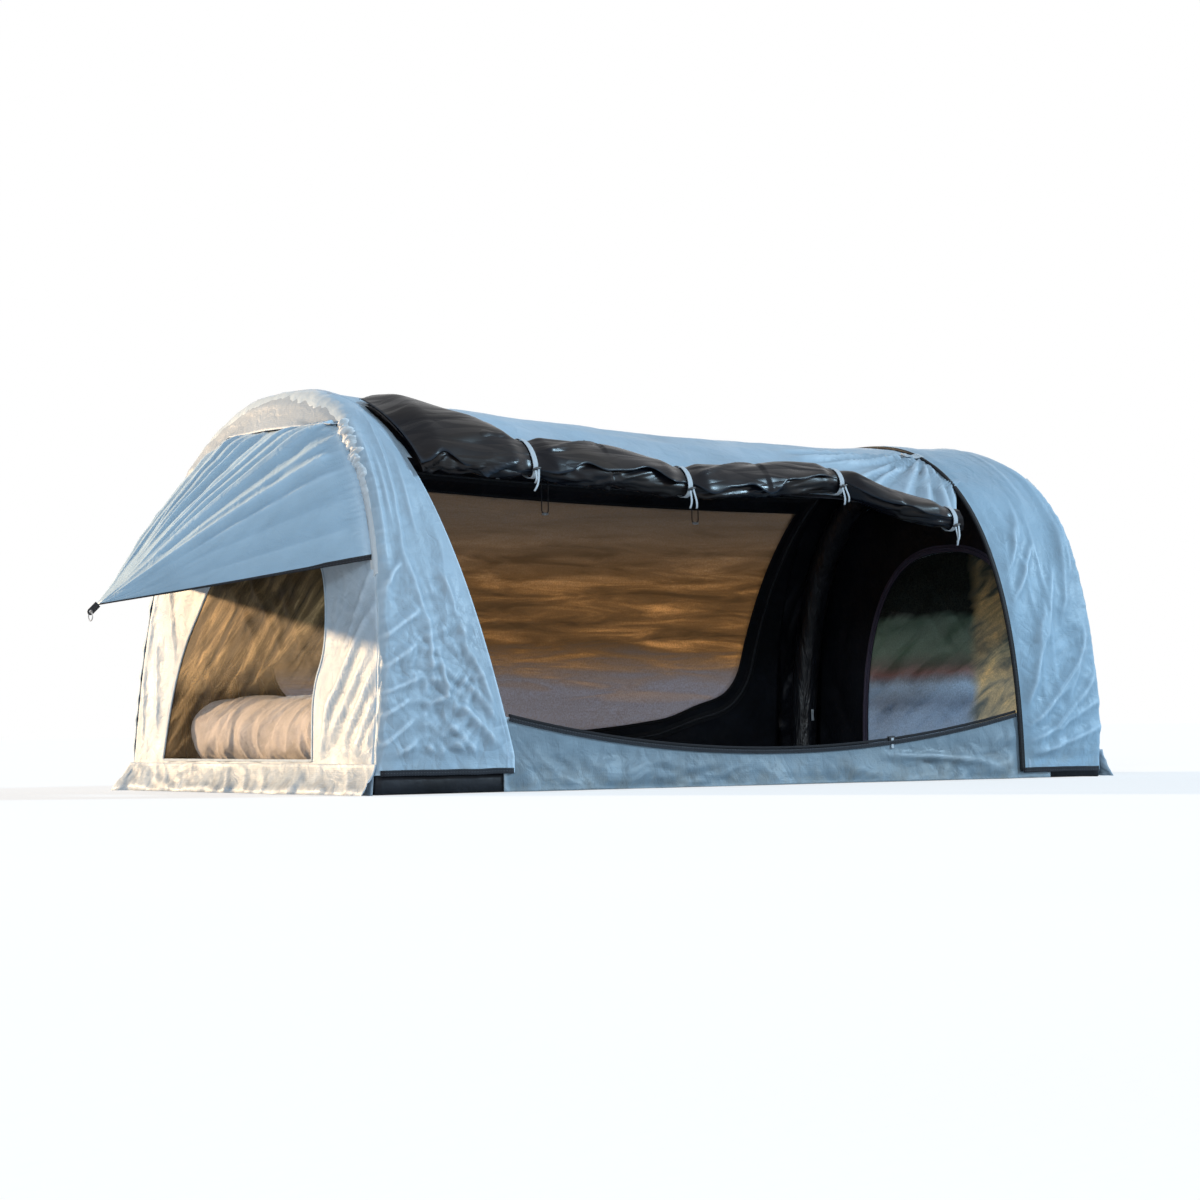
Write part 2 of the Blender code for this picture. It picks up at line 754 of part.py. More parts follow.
def cap_flap(end):
    """The flap over the top of the awning: the part of the end above a level line."""
    line = arch_line(end.ridge)
    above = [index for index, point in enumerate(line) if point[1] > end.flap_line]
    first, last = above[0], above[-1]
    points = [level_point(line[first - 1], line[first], end.flap_line)]
    points += line[first:last + 1]
    points.append(level_point(line[last + 1], line[last], end.flap_line))
    outline, placement = end.in_plane(points, -GAP - FABRIC / 2)
    return plate(end.name + "_cap_flap", [outline], FABRIC, placement, "silver_fabric")


def spaced(points, count):
    """A line of points evenly spaced along the given one."""
    lengths = [0.0]
    for before, after in zip(points, points[1:]):
        lengths.append(lengths[-1] + (after - before).length)
    result = []
    for index in range(count + 1):
        want = lengths[-1] * index / count
        place = max(k for k in range(len(points) - 1) if lengths[k] <= want + 1e-9)
        share = (want - lengths[place]) / (lengths[place + 1] - lengths[place])
        result.append(points[place].lerp(points[place + 1], min(share, 1.0)))
    return result


def awning_edge(end):
    """Where the awning meets the end wall: up one side of the arch, across the top and down again."""
    top = end.flap_line - AWNING_TOP_GAP
    step = math.pi / AWNING_EDGE_STEPS
    line = [arch(index * step, end.ridge, AWNING_SIDE_INSET) for index in range(AWNING_EDGE_STEPS + 1)]
    line = [(y, min(z, top)) for y, z in line if z >= end.stop]
    edge = [Vector((end.wall_x(z) + end.sign * AWNING_STANDOFF, y, z)) for y, z in line]
    return spaced(edge, AWNING_COLUMNS)


def awning_tip(end):
    return Vector((end.wall_x(end.stop) + end.sign * AWNING_REACH, 0.0, end.tip))


def awning_hinge(end):
    """The awning turns about its top edge, under the cap flap."""
    top = end.flap_line - AWNING_TOP_GAP
    return Vector((end.wall_x(top) + end.sign * AWNING_STANDOFF, 0.0, top))


def awning(end):
    edge = awning_edge(end)
    tip = awning_tip(end)
    middle = Vector((0.0, 0.0, end.stop))

    def place(column, row):
        root = edge[column]
        share = row / AWNING_ROWS
        across = column / AWNING_COLUMNS
        goal = tip + Vector((0.0, (across - 0.5) * AWNING_TIP_WIDTH, 0.0))
        out = Vector((0.0, root.y, root.z - middle.z)).normalized()
        swell = (4 * share * (1 - share)) ** AWNING_SWELL_POWER * (1 - AWNING_SWELL_LOSS * share)
        fade = min(1.0, AWNING_EDGE_FADE * across, AWNING_EDGE_FADE * (1 - across))
        pleat = AWNING_PLEAT_DEPTH * fade * swell * math.sin(2 * math.pi * AWNING_PLEATS * across)
        return root.lerp(goal, share) + out * pleat

    cloth = sheet(end.name + "_awning", AWNING_COLUMNS, AWNING_ROWS, place, FABRIC, "silver_fabric",
                  flip=end.sign > 0)
    origin_on(cloth, awning_hinge(end))


def tab_direction(end):
    return (awning_tip(end) - awning_hinge(end)).normalized()


def ring_pivot(end):
    """The eye at the awning's tip, which the ring hangs in."""
    reach = GAP + TAB_LENGTH - TAB_HEIGHT / 2
    return awning_tip(end) + tab_direction(end) * reach


def awning_tip_tab(end):
    """A webbing tab on edge at the awning's tip, with an eye, and the ring that hangs in the eye."""
    direction = tab_direction(end)
    half = TAB_HEIGHT / 2
    run = TAB_LENGTH - half
    outline = [(0.0, -half)]
    for index in range(TAB_ROUND_STEPS + 1):
        turn = (index / TAB_ROUND_STEPS - 0.5) * math.pi
        outline.append((run + half * math.cos(turn), half * math.sin(turn)))
    outline.append((0.0, half))
    turns = [2 * math.pi * index / TAB_HOLE_SIDES for index in range(TAB_HOLE_SIDES)]
    eye = [(run + TAB_HOLE_RADIUS * math.cos(turn), TAB_HOLE_RADIUS * math.sin(turn)) for turn in turns]
    placement = frame(awning_tip(end) + direction * GAP, direction, (0.0, 1.0, 0.0))
    tab = plate(end.name + "_awning_tab", [outline, eye], TAB_THICKNESS, placement, "black_lining")
    origin_on(tab, awning_hinge(end))
    pivot = ring_pivot(end)
    turns = [2 * math.pi * index / RING_STEPS for index in range(RING_STEPS)]
    points = [pivot + RING_RADIUS * Vector((0.0, math.sin(turn), math.cos(turn) - 1)) for turn in turns]
    ring = tube(end.name + "_awning_ring", points, RING_WIRE, "steel", closed=True)
    origin_on(ring, pivot)


def skirt(end):
    """The mud flap along the foot of the end wall, spread on the ground in waves."""

    def place(column, row):
        across = column / SKIRT_COLUMNS
        down = 1 - row / SKIRT_ROWS
        wave = SKIRT_WAVE_DEPTH / 2 * (1 - math.cos(2 * math.pi * SKIRT_WAVES * across))
        reach = SKIRT_STANDOFF + (SKIRT_SPREAD + wave) * down ** SKIRT_CURL
        height = FABRIC + (SKIRT_HEIGHT - FABRIC) * (1 - down)
        return Vector((end.wall_x(height) + end.sign * reach, (across - 0.5) * WIDTH, height))

    sheet(end.name + "_skirt", SKIRT_COLUMNS, SKIRT_ROWS, place, FABRIC, "silver_fabric",
          flip=end.sign < 0)


def air_beam(end):
    points = [Vector((end.beam_x(z), y, z)) for y, z in end.beam_line()]
    return tube(end.name + "_air_beam", points, BEAM_RADIUS, "air_tube", BEAM_SIDES)


def valve_frame(end):
    """Where the valve sits on the near leg of the beam: Z out into the cabin, X along the tent."""
    line = end.beam_line()
    for lower, upper in zip(line, line[1:]):
        if lower[1] <= VALVE_HEIGHT <= upper[1]:
            centre = level_point(lower, upper, VALVE_HEIGHT)
            run = Vector((0.0, upper[0] - lower[0], upper[1] - lower[1])).normalized()
            break
    out = run.cross(Vector((1.0, 0.0, 0.0)))
    origin = Vector((end.beam_x(centre[1]), centre[0], centre[1])) + out * (BEAM_FLAT + GAP)
    return frame(origin, (-1.0, 0.0, 0.0), out)


def cap_hinge(end):
    height = VALVE_COLLAR_HEIGHT + GAP + CAP_THICKNESS / 2
    return valve_frame(end) @ Vector((0.0, VALVE_COLLAR_RADIUS + CAP_HINGE_REACH, height))


def valve(end):
    place = valve_frame(end)
    seat = [(0.0, VALVE_FLOOR), (VALVE_BORE_RADIUS, VALVE_FLOOR), (VALVE_BORE_RADIUS, VALVE_COLLAR_HEIGHT),
            (VALVE_COLLAR_RADIUS, VALVE_COLLAR_HEIGHT), (VALVE_COLLAR_RADIUS, VALVE_FLANGE),
            (VALVE_FLANGE_RADIUS, VALVE_FLANGE), (VALVE_FLANGE_RADIUS, 0.0), (0.0, 0.0)]
    turned(end.name + "_valve", seat, place, "valve_plastic")
    disc = VALVE_BORE_RADIUS - VALVE_FIT
    pin = [(0.0, PIN_HEIGHT), (PIN_BUTTON_RADIUS, PIN_HEIGHT), (PIN_BUTTON_RADIUS, PIN_DISC),
           (disc, PIN_DISC), (disc, 0.0), (0.0, 0.0)]
    lift = Matrix.Translation((0.0, 0.0, VALVE_FLOOR + PIN_STROKE + GAP))
    turned(end.name + "_valve_pin", pin, place @ lift, "webbing")
    radius = VALVE_COLLAR_RADIUS + CAP_OVERHANG
    lid = [(0.0, CAP_THICKNESS), (radius, CAP_THICKNESS), (radius, 0.0), (0.0, 0.0)]
    rest = place @ Matrix.Translation((0.0, 0.0, VALVE_COLLAR_HEIGHT + GAP))
    cap = turned(end.name + "_valve_cap", lid, rest, "valve_plastic")
    reach = CAP_HINGE_REACH
    tab_place = rest @ Matrix.Translation((0.0, VALVE_COLLAR_RADIUS + reach / 2, CAP_THICKNESS / 2))
    tab_size = (CAP_TAB_WIDTH, reach, CAP_TAB_THICKNESS)
    cap = combine(cap, as_cutter(block(end.name + "_cap_tab", tab_size, tab_place, None)), "UNION")
    pivot = cap_hinge(end)
    barrel = frame(pivot, (1.0, 0.0, 0.0), place.to_3x3() @ Vector((0.0, 0.0, 1.0)))
    knuckle = rod(end.name + "_cap_knuckle", CAP_TAB_THICKNESS, CAP_KNUCKLE_LENGTH, barrel, None)
    cap = combine(cap, as_cutter(knuckle), "UNION")
    origin_on(smooth(cap), pivot)


def tub_half_width():
    """The tub fits inside the body's facets at its own top edge."""
    line = arch_line(FOOT_RIDGE, 2 * (FABRIC + GAP), TUB_HEIGHT)
    return -line[0][0] - GAP


def groundsheet():
    start = HEAD.wall_x(TUB_HEIGHT) + FABRIC + GAP
    stop = FOOT.wall_x(0.0) - FABRIC - GAP
    half = tub_half_width()
    mesh = bmesh.new()
    size = Matrix.Diagonal((stop - start, 2 * half, TUB_HEIGHT, 1.0))
    bmesh.ops.create_cube(mesh, size=1.0, matrix=size)
    top = [face for face in mesh.faces if face.normal.z > 0.5]
    bmesh.ops.delete(mesh, geom=top, context="FACES_ONLY")
    data = bpy.data.meshes.new("groundsheet")
    mesh.to_mesh(data)
    mesh.free()
    obj = add_part("groundsheet", data, "ground_fabric")
    obj.location = ((start + stop) / 2, 0.0, TUB_HEIGHT / 2)
    shell = obj.modifiers.new("fabric", "SOLIDIFY")
    shell.thickness = FABRIC
    shell.offset = -1.0
    shell.use_even_offset = True
    return baked(obj)


def mat_top():
    return FABRIC + GAP + MAT_THICKNESS


def sleeping_mat():
    place = Matrix.Translation((0.0, 0.0, FABRIC + GAP + MAT_THICKNESS / 2))
    size = (MAT_LENGTH, MAT_WIDTH, MAT_THICKNESS)
    return smooth(block("sleeping_mat", size, place, "ground_fabric", MAT_EDGE_RADIUS))


def bolster():
    """Rolled bedding across the head end: drawn-in ends, folds round it and a flat underside."""
    base = mat_top() + GAP
    centre = Vector((at(BOLSTER_FROM_END), 0.0, base + BOLSTER_RADIUS - BOLSTER_FLAT))
    sections = []
    for index in range(BOLSTER_RINGS + 1):
        share = index / BOLSTER_RINGS
        y = (share - 0.5) * BOLSTER_LENGTH
        inset = min(share, 1 - share) * BOLSTER_LENGTH / BOLSTER_RADIUS
        crown = math.sqrt(max(1 - (1 - min(inset, 1.0)) ** 2, 0.0))
        radius = BOLSTER_RADIUS * (BOLSTER_END_SHARE + (1 - BOLSTER_END_SHARE) * crown)
        ring = []
        for side in range(BOLSTER_SIDES):
            turn = 2 * math.pi * side / BOLSTER_SIDES
            wave = 2 * math.pi * BOLSTER_FOLDS * share + BOLSTER_FOLD_TWIST * math.sin(turn)
            reach = radius * (1 + BOLSTER_FOLD_DEPTH * math.sin(wave))
            point = centre + reach * Vector((math.cos(turn), 0.0, math.sin(turn)))
            ring.append(Vector((point.x, y, max(point.z, base))))
        sections.append(ring)
    return loft("bolster", sections, "bedding")


def roll_shape(distance, side):
    """The roll's middle angle, half span, half depth and seat at a distance from the head end."""
    if side > 0:
        low, high = ROLL_LOW_ANGLE + FAR_ROLL_LIFT, ROLL_HIGH_ANGLE + FAR_ROLL_LIFT
        return (low + high) / 2, (high - low) / 2, FAR_ROLL_HALF_DEPTH, 0.0
    head = 1 - ease(distance, ROLL_START, ROLL_HEAD_END)
    foot = foot_drop(distance)
    low = ROLL_LOW_ANGLE - ROLL_FOOT_LOW_DROP * foot
    high = ROLL_HIGH_ANGLE + ROLL_HEAD_SPREAD * head - ROLL_FOOT_HIGH_DROP * foot
    depth = ROLL_HALF_DEPTH - ROLL_HEAD_THINNING * head - ROLL_FOOT_THINNING * foot
    return (low + high) / 2, (high - low) / 2, depth, ROLL_SEAT + ROLL_HEAD_SEAT * head


def roll_ring(distance, side, pinch=1.0, lift=0.0, grow=0.0, fold=0.0):
    """A closed section of the roll, laid on the outside of the body skin."""
    middle, half, depth, seat = roll_shape(distance, side)
    base = FABRIC + GAP
    arm = body_point(distance, middle + half, base) - body_point(distance, middle - half, base)
    half = half * pinch + grow * 2 * half / arm.length
    shrunk = depth * pinch
    ring = []
    for index in range(ROLL_SIDES):
        turn = 2 * math.pi * index / ROLL_SIDES
        crease = fold * math.sin(ROLL_FOLDS * turn + ROLL_FOLD_TWIST * distance) / ROLL_HALF_DEPTH
        angle = middle + half * math.cos(turn)
        height = seat + lift + shrunk + (shrunk + grow) * math.sin(turn)
        if math.sin(turn) > 0:
            height += shrunk * crease * math.sin(turn)
        point = body_point(distance, angle, base)
        out = arch_normal(angle)
        point += Vector((0.0, out.x, out.y)) * height
        if side > 0:
            point.y = -point.y
        ring.append(point)
    return ring


def roll_edges(start, stop, ties):
    """Distances for the roll's rings: evenly spread, with four at each tie's groove."""
    marks = [(start, False), (stop, False)]
    for tie in ties:
        inner, outer = GROOVE_WIDTH / 2, GROOVE_WIDTH / 2 + GROOVE_SLOPE
        marks += [(tie - outer, False), (tie - inner, True), (tie + inner, True), (tie + outer, False)]
    marks.sort()
    filled = []
    for (here, pinched), (there, _) in zip(marks, marks[1:]):
        filled.append((here, pinched))
        spans = max(1, round((there - here) / ROLL_STEP))
        filled += [(here + (there - here) * index / spans, False) for index in range(1, spans)]
    filled.append(marks[-1])
    return filled


def door_roll(name, side):
    """A side door rolled up along the roof's edge: flat and wide at the head, round towards the foot."""
    lift = TIE_THICKNESS + 2 * GAP
    rings = []
    for distance, pinched in roll_edges(ROLL_START, ROLL_END, TIE_PLACES):
        if pinched:
            rings.append(roll_ring(distance, side, ROLL_PINCH, lift))
        else:
            rings.append(roll_ring(distance, side, fold=ROLL_FOLD_DEPTH))
    return loft(name, rings, "black_lining")


def tie(name, distance, side):
    """A strap round the roll in its groove, with a toggle on its outer face."""
    lift = TIE_THICKNESS + 2 * GAP
    near, far = distance - TIE_WIDTH / 2, distance + TIE_WIDTH / 2
    corners = [roll_ring(near, side, ROLL_PINCH, lift, GAP),
               roll_ring(near, side, ROLL_PINCH, lift, GAP + TIE_THICKNESS),
               roll_ring(far, side, ROLL_PINCH, lift, GAP + TIE_THICKNESS),
               roll_ring(far, side, ROLL_PINCH, lift, GAP)]
    rings = [[corner[index] for corner in corners] for index in range(ROLL_SIDES)]
    strap = loft(name, rings, "webbing", loop=True)
    index = round(TOGGLE_ANGLE / (2 * math.pi) * ROLL_SIDES)
    outer = (corners[1][index] + corners[2][index]) / 2
    middle = sum(corners[1], Vector()) / ROLL_SIDES
    out = Vector((0.0, outer.y - middle.y, outer.z - middle.z)).normalized()
    place = frame(outer + out * TOGGLE_LIFT, (1.0, 0.0, 0.0), out)
    toggle = rod(name + "_toggle", TOGGLE_RADIUS, TOGGLE_LENGTH, place, None)
    return smooth(combine(strap, as_cutter(toggle), "UNION"))


def zip_track():
    start = HEAD.edge_x(sill_height(HEAD.edge_x(0.0))) + TRACK_END_GAP
    stop = FOOT.edge_x(sill_height(FOOT.edge_x(0.0))) - TRACK_END_GAP - 2 * PIPING_RADIUS
    low = sill_line(start, stop, SILL_RADIUS)
    high = sill_line(start, stop, SILL_RADIUS - TRACK_HEIGHT)
    placement = Matrix.Translation((0.0, track_y(), 0.0)) @ Matrix.Rotation(math.pi / 2, 4, "X")
    return plate("near_zip_track", [low + high[::-1]], TRACK_THICKNESS, placement, "zip")


def track_y():
    return -WIDTH / 2 + TRACK_INSET + TRACK_THICKNESS / 2


def slider_frame():
    """Where the slider rides: X along the arc, Y across the wall and Z towards the arc's centre."""
    x = at(SLIDER_PLACE)
    centre_x, centre_z = sill_centre()
    up = Vector((centre_x - x, 0.0, centre_z - sill_height(x))).normalized()
    return frame((x, track_y(), sill_height(x)), (1.0, 0.0, 0.0), up)


def pull_hinge():
    front = -TRACK_THICKNESS / 2 - SLIDER_FIT - SLIDER_PLATE - GAP - PULL_THICKNESS / 2
    return slider_frame() @ Vector((0.0, front, PULL_HINGE_HEIGHT))


def zip_slider():
    """A slider that straddles the track, and the pull that hangs on its front."""
    place = slider_frame()
    height = TRACK_HEIGHT + SLIDER_FIT + SLIDER_CAP - GAP
    depth = TRACK_THICKNESS + 2 * (SLIDER_FIT + SLIDER_PLATE)
    body = block("near_zip_slider", (SLIDER_LENGTH, depth, height),
                 place @ Matrix.Translation((0.0, 0.0, GAP + height / 2)), "zip")
    slot_size = (2 * SLIDER_LENGTH, TRACK_THICKNESS + 2 * SLIDER_FIT, 2 * (TRACK_HEIGHT + SLIDER_FIT))
    slot = block("slider_slot", slot_size, place, None)
    body = combine(body, as_cutter(slot), "DIFFERENCE")
    centre_x, centre_z = sill_centre()
    origin_on(body, Vector((centre_x, track_y(), centre_z)))
    pivot = pull_hinge()
    pull = block("near_zip_pull", (PULL_WIDTH, PULL_THICKNESS, PULL_LENGTH),
                 Matrix.Translation(pivot - Vector((0.0, 0.0, PULL_LENGTH / 2))), "webbing")
    origin_on(pull, pivot)


def loop_hinge(distance):
    """Where a hanging loop is sewn to the inside of the roof, above the far door."""
    inside = 2 * (FABRIC + GAP) + LOOP_DEPTH / 2
    return body_point(distance, math.pi - LOOP_ANGLE, inside)


def hanging_loop(name, distance):
    """A flat loop with a bead at its lower end."""
    pivot = loop_hinge(distance)
    half, height, strap = LOOP_WIDTH / 2, LOOP_HEIGHT, LOOP_STRAP
    outer, inner = [], []
    for index in range(LOOP_SIDES):
        turn = 2 * math.pi * (index + 0.5) / LOOP_SIDES
        centre = math.copysign(height / 2 - half, math.sin(turn)) - height / 2
        outer.append((half * math.cos(turn), centre + half * math.sin(turn)))
        inner.append(((half - strap) * math.cos(turn), centre + (half - strap) * math.sin(turn)))
    place = Matrix.Translation(pivot) @ Matrix.Rotation(math.pi / 2, 4, "X")
    loop = plate(name, [outer, inner], LOOP_DEPTH, place, "webbing")
    bead_place = Matrix.Translation(pivot - Vector((0.0, 0.0, height)))
    bead = rod(name + "_bead", LOOP_BEAD_RADIUS, LOOP_BEAD_LENGTH, bead_place, None)
    origin_on(smooth(combine(loop, as_cutter(bead), "UNION")), pivot)


def sleeve_pull_hinge():
    line = FOOT.beam_line()
    for upper, lower in zip(line[::-1][1:], line[::-1]):
        if lower[1] <= SLEEVE_PULL_HEIGHT <= upper[1]:
            y = level_point(lower, upper, SLEEVE_PULL_HEIGHT)[0]
            break
    clear = BEAM_FLAT + GAP + SLEEVE_PULL_THICKNESS / 2
    return Vector((FOOT.beam_x(SLEEVE_PULL_HEIGHT), y - clear, SLEEVE_PULL_HEIGHT))


def sleeve_pull():
    pivot = sleeve_pull_hinge()
    size = (SLEEVE_PULL_WIDTH, SLEEVE_PULL_THICKNESS, SLEEVE_PULL_LENGTH)
    place = Matrix.Translation(pivot - Vector((0.0, 0.0, SLEEVE_PULL_LENGTH / 2)))
    origin_on(block("foot_sleeve_pull", size, place, "webbing"), pivot)


def ridge_tab():
    """A webbing tab on the roof beside the foot cover, flat on one facet of the skin."""
    step = math.pi / ARCH_STEPS
    base = FABRIC + GAP
    low = body_point(RIDGE_TAB_PLACE, RIDGE_TAB_SEGMENT * step, base)
    high = body_point(RIDGE_TAB_PLACE, (RIDGE_TAB_SEGMENT + 1) * step, base)
    ahead = RIDGE_TAB_LENGTH / 2
    back = body_point(RIDGE_TAB_PLACE - ahead, RIDGE_TAB_SEGMENT * step, base)
    front = body_point(RIDGE_TAB_PLACE + ahead, RIDGE_TAB_SEGMENT * step, base)
    along = (front - back).normalized()
    out = along.cross(high - low).normalized()
    middle = (low + high) / 2 + out * (RIDGE_TAB_SEAT + RIDGE_TAB_THICKNESS / 2)
    size = (RIDGE_TAB_LENGTH, RIDGE_TAB_WIDTH, RIDGE_TAB_THICKNESS)
    return block("ridge_tab", size, frame(middle, along, out), "webbing")


def build():
    clear_scene()
    groundsheet()
    sleeping_mat()
    bolster()
    for end in (HEAD, FOOT):
        cover(end)
        end_wall(end)
        cap_flap(end)
        awning(end)
        awning_tip_tab(end)
        skirt(end)
        air_beam(end)
        valve(end)
    foot_edge_piping()
    roof_panel()
    near_sill_panel()
    far_door()
    for label, side in (("near", -1), ("far", 1)):
        door_roll(label + "_door_roll", side)
        for number, place in enumerate(TIE_PLACES, 1):
            tie(f"{label}_tie_{number}", place, side)
    zip_track()
    zip_slider()
    for number, place in enumerate(LOOP_PLACES, 1):
        hanging_loop(f"far_loop_{number}", place)
    sleeve_pull()
    ridge_tab()


build()
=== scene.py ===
"""Looks of the inflatable tent: its cloth, mesh, zips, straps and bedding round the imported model."""

import math

import bmesh
import bpy
import numpy as np
from mathutils import Matrix, Vector


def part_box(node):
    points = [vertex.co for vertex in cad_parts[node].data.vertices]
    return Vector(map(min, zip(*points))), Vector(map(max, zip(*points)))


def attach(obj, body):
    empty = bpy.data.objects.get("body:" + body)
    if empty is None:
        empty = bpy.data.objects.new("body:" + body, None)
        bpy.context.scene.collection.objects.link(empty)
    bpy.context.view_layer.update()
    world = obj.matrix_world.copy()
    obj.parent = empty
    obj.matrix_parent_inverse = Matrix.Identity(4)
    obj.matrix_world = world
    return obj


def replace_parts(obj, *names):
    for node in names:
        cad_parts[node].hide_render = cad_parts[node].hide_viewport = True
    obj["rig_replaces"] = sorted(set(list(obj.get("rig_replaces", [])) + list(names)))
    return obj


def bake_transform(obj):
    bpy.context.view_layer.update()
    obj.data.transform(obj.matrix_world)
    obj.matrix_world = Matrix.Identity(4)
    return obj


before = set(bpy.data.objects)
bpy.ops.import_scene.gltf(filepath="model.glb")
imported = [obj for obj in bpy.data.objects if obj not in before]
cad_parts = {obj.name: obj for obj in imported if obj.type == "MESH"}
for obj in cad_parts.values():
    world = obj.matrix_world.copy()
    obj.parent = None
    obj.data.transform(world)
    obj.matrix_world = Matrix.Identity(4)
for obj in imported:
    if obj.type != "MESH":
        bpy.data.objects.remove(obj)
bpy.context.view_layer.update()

# Sizes of the tent
LENGTH = 2.19
WIDTH = 1.20
HEAD_RIDGE = 0.956
FOOT_RIDGE = 0.882
RIDGE_SAG = 0.020
ARCH_POWER = 2.55
SKIN = 0.0033
CLOTH = 0.0012
HEAD_LAP = 0.030
FOOT_LAP = 0.130
SILL_X = 0.045
SILL_CENTRE = 3.685
SILL_RADIUS = 3.60
ZIP_Y = -0.5935
NEAR_GROUND = 0.0012
DOOR_START = 0.40
DOOR_STOP = 1.915
DOOR_TOP_STOP = 1.985
DOOR_TOP_ANGLE = math.radians(53.0)
DOOR_SILL = 0.040
WINDOW_LOW = 0.080
WINDOW_HALF = 0.345
WINDOW_HEIGHT = 0.530
WINDOW_FLAT = (0.73, 0.53)
NET = 0.0005
BEAM_RADIUS = 0.038
FLAP_SEAM = 0.003
AWNING_DEPTH = 0.0029
AWNING_REACH = 0.424
TAB_REACH = 0.026
TAB_HALF = 0.008
MAT_TOP = 0.0033 + 0.062 + 0.0003
BOLSTER_RADIUS = 0.086
BOLSTER_LENGTH = 0.84
BOLSTER_SINK = 0.012
LOOP_HALF_HEIGHT = 0.062
LOOP_CORNER = 0.011
ROLL_TURNS = 2.2
NEAR_ROOF_ANGLE = math.radians(50.0)
FAR_ROOF_ANGLE = math.radians(58.0)
ROLL_START = 0.155
ROLL_END = 1.805
# The near roll's lower and upper edges round the arch, in degrees, at distances from the head end
ROLL_EDGES = ((0.17, 44.0, 69.0), (0.25, 44.5, 70.0), (0.35, 45.0, 64.5), (0.50, 45.5, 57.0),
              (0.72, 45.0, 56.5), (0.95, 44.5, 53.0), (1.20, 45.8, 54.6), (1.44, 48.6, 56.4),
              (1.60, 43.0, 49.5), (1.83, 39.0, 45.5))
TIE_PLACES = (0.515, 0.957, 1.450, 1.775)
LOOP_PLACES = (0.59, 1.06, 1.55)
CENTRE = np.array((0.0, 0.0, 0.30))
SIDES = {-1: "near", 1: "far"}

# Smooth random values for the cloth's folds
LATTICE = np.random.default_rng(11).uniform(-1, 1, (256, 256))


def noise(p, q, seed=0):
    """Smooth random values from -1 to 1, one cell to a unit."""
    p, q = np.broadcast_arrays(p + 37.7 * seed, q + 19.3 * seed)
    i, j = np.floor(p).astype(int), np.floor(q).astype(int)
    u, v = p - i, q - j
    u, v = u * u * (3 - 2 * u), v * v * (3 - 2 * v)
    low = LATTICE[i % 256, j % 256] * (1 - u) + LATTICE[(i + 1) % 256, j % 256] * u
    high = LATTICE[i % 256, (j + 1) % 256] * (1 - u) + LATTICE[(i + 1) % 256, (j + 1) % 256] * u
    return low * (1 - v) + high * v


def ridges(p, q, seed=0):
    """Sharp creases that wander: 1 on a crest, down to 0 between."""
    return np.clip(1 - 2.2 * np.abs(noise(p, q, seed)), 0, 1)


def crumple(p, q, size, seed=0):
    """Creased cloth: flat facets between sharp folds that run every way, about -1 to 1."""
    total = 0.0
    for layer in range(6):
        turn = 2.4 * layer + seed
        a = (p * math.cos(turn) + q * math.sin(turn)) / size
        b = (q * math.cos(turn) - p * math.sin(turn)) / size
        wave = 2 * np.abs((a + 0.9 * noise(a * 0.6, b * 0.6, seed + layer)) % 1 - 0.5)
        mask = np.clip(0.35 + 1.7 * noise(a * 0.45, b * 0.45, seed + layer + 9), 0, 1)
        total = total + (wave - 0.5) * mask / (1 + 0.3 * layer)
        size *= 0.82
    return total


def folds(p, q, lines):
    """Sharp-crested folds along lines (p0, q0, p1, q1, width, height) that fade at both ends."""
    total = np.zeros(np.broadcast(p, q).shape)
    for p0, q0, p1, q1, width, height in lines:
        run = math.hypot(p1 - p0, q1 - q0)
        along = ((p - p0) * (p1 - p0) + (q - q0) * (q1 - q0)) / run ** 2
        off = ((p - p0) * (q1 - q0) - (q - q0) * (p1 - p0)) / run
        off = off / width + 0.5 * noise(along * 3.0, p0 * 9 + q0 * 5)
        fade = ease(along, 0.0, 0.3) * (1 - ease(along, 0.7, 1.0))
        total += height * fade * np.exp(0.3 - np.sqrt(0.09 + off ** 2))
    return total


def ease(value, start, stop):
    """A smooth step from 0 at start to 1 at stop."""
    share = np.clip((value - start) / (stop - start), 0.0, 1.0)
    return share * share * (3 - 2 * share)


def at(distance):
    """The x of a distance from the head end."""
    return distance - LENGTH / 2


def arch(angle, ridge, inset=0.0):
    """The section (y, z) at an angle from the near side, moved inwards by inset."""
    share = 2 / ARCH_POWER
    across, rise = np.cos(angle), np.maximum(np.sin(angle), 0.0)
    y = -(WIDTH / 2 - inset) * np.sign(across) * np.abs(across) ** share
    return y, (ridge - inset) * rise ** share


def arch_normal(angle):
    """The outward direction of the section, for the mean ridge."""
    ridge = (HEAD_RIDGE + FOOT_RIDGE) / 2
    y, z = arch(angle, ridge)
    half = WIDTH / 2
    out_y = np.sign(y) * np.abs(y / half) ** (ARCH_POWER - 1) / half
    out_z = (z / ridge) ** (ARCH_POWER - 1) / ridge
    size = np.hypot(out_y, out_z)
    return np.stack([0 * size, out_y / size, out_z / size], -1)


def angle_at_height(height, ridge):
    return math.asin((height / ridge) ** (ARCH_POWER / 2))


def even_angles(count, ridge, low=0.0):
    """Angles evenly spaced along the arch from one side's height low to the other's, with their run."""
    start = angle_at_height(low, ridge)
    fine = np.linspace(start, math.pi - start, 4001)
    run = lengths(np.stack(arch(fine, ridge), -1))
    even = np.linspace(0, run[-1], count)
    return np.interp(even, run, fine), even


def lengths(points):
    """The run along a line up to each of its points."""
    return np.concatenate([[0.0], np.cumsum(np.linalg.norm(np.diff(points, axis=0), axis=-1))])


def spaced(points, count):
    """A line of points evenly spaced along the given one."""
    points = np.asarray(points, float)
    run = lengths(points)
    even = np.linspace(0, run[-1], count)
    return np.stack([np.interp(even, run, points[:, k]) for k in range(points.shape[1])], -1)


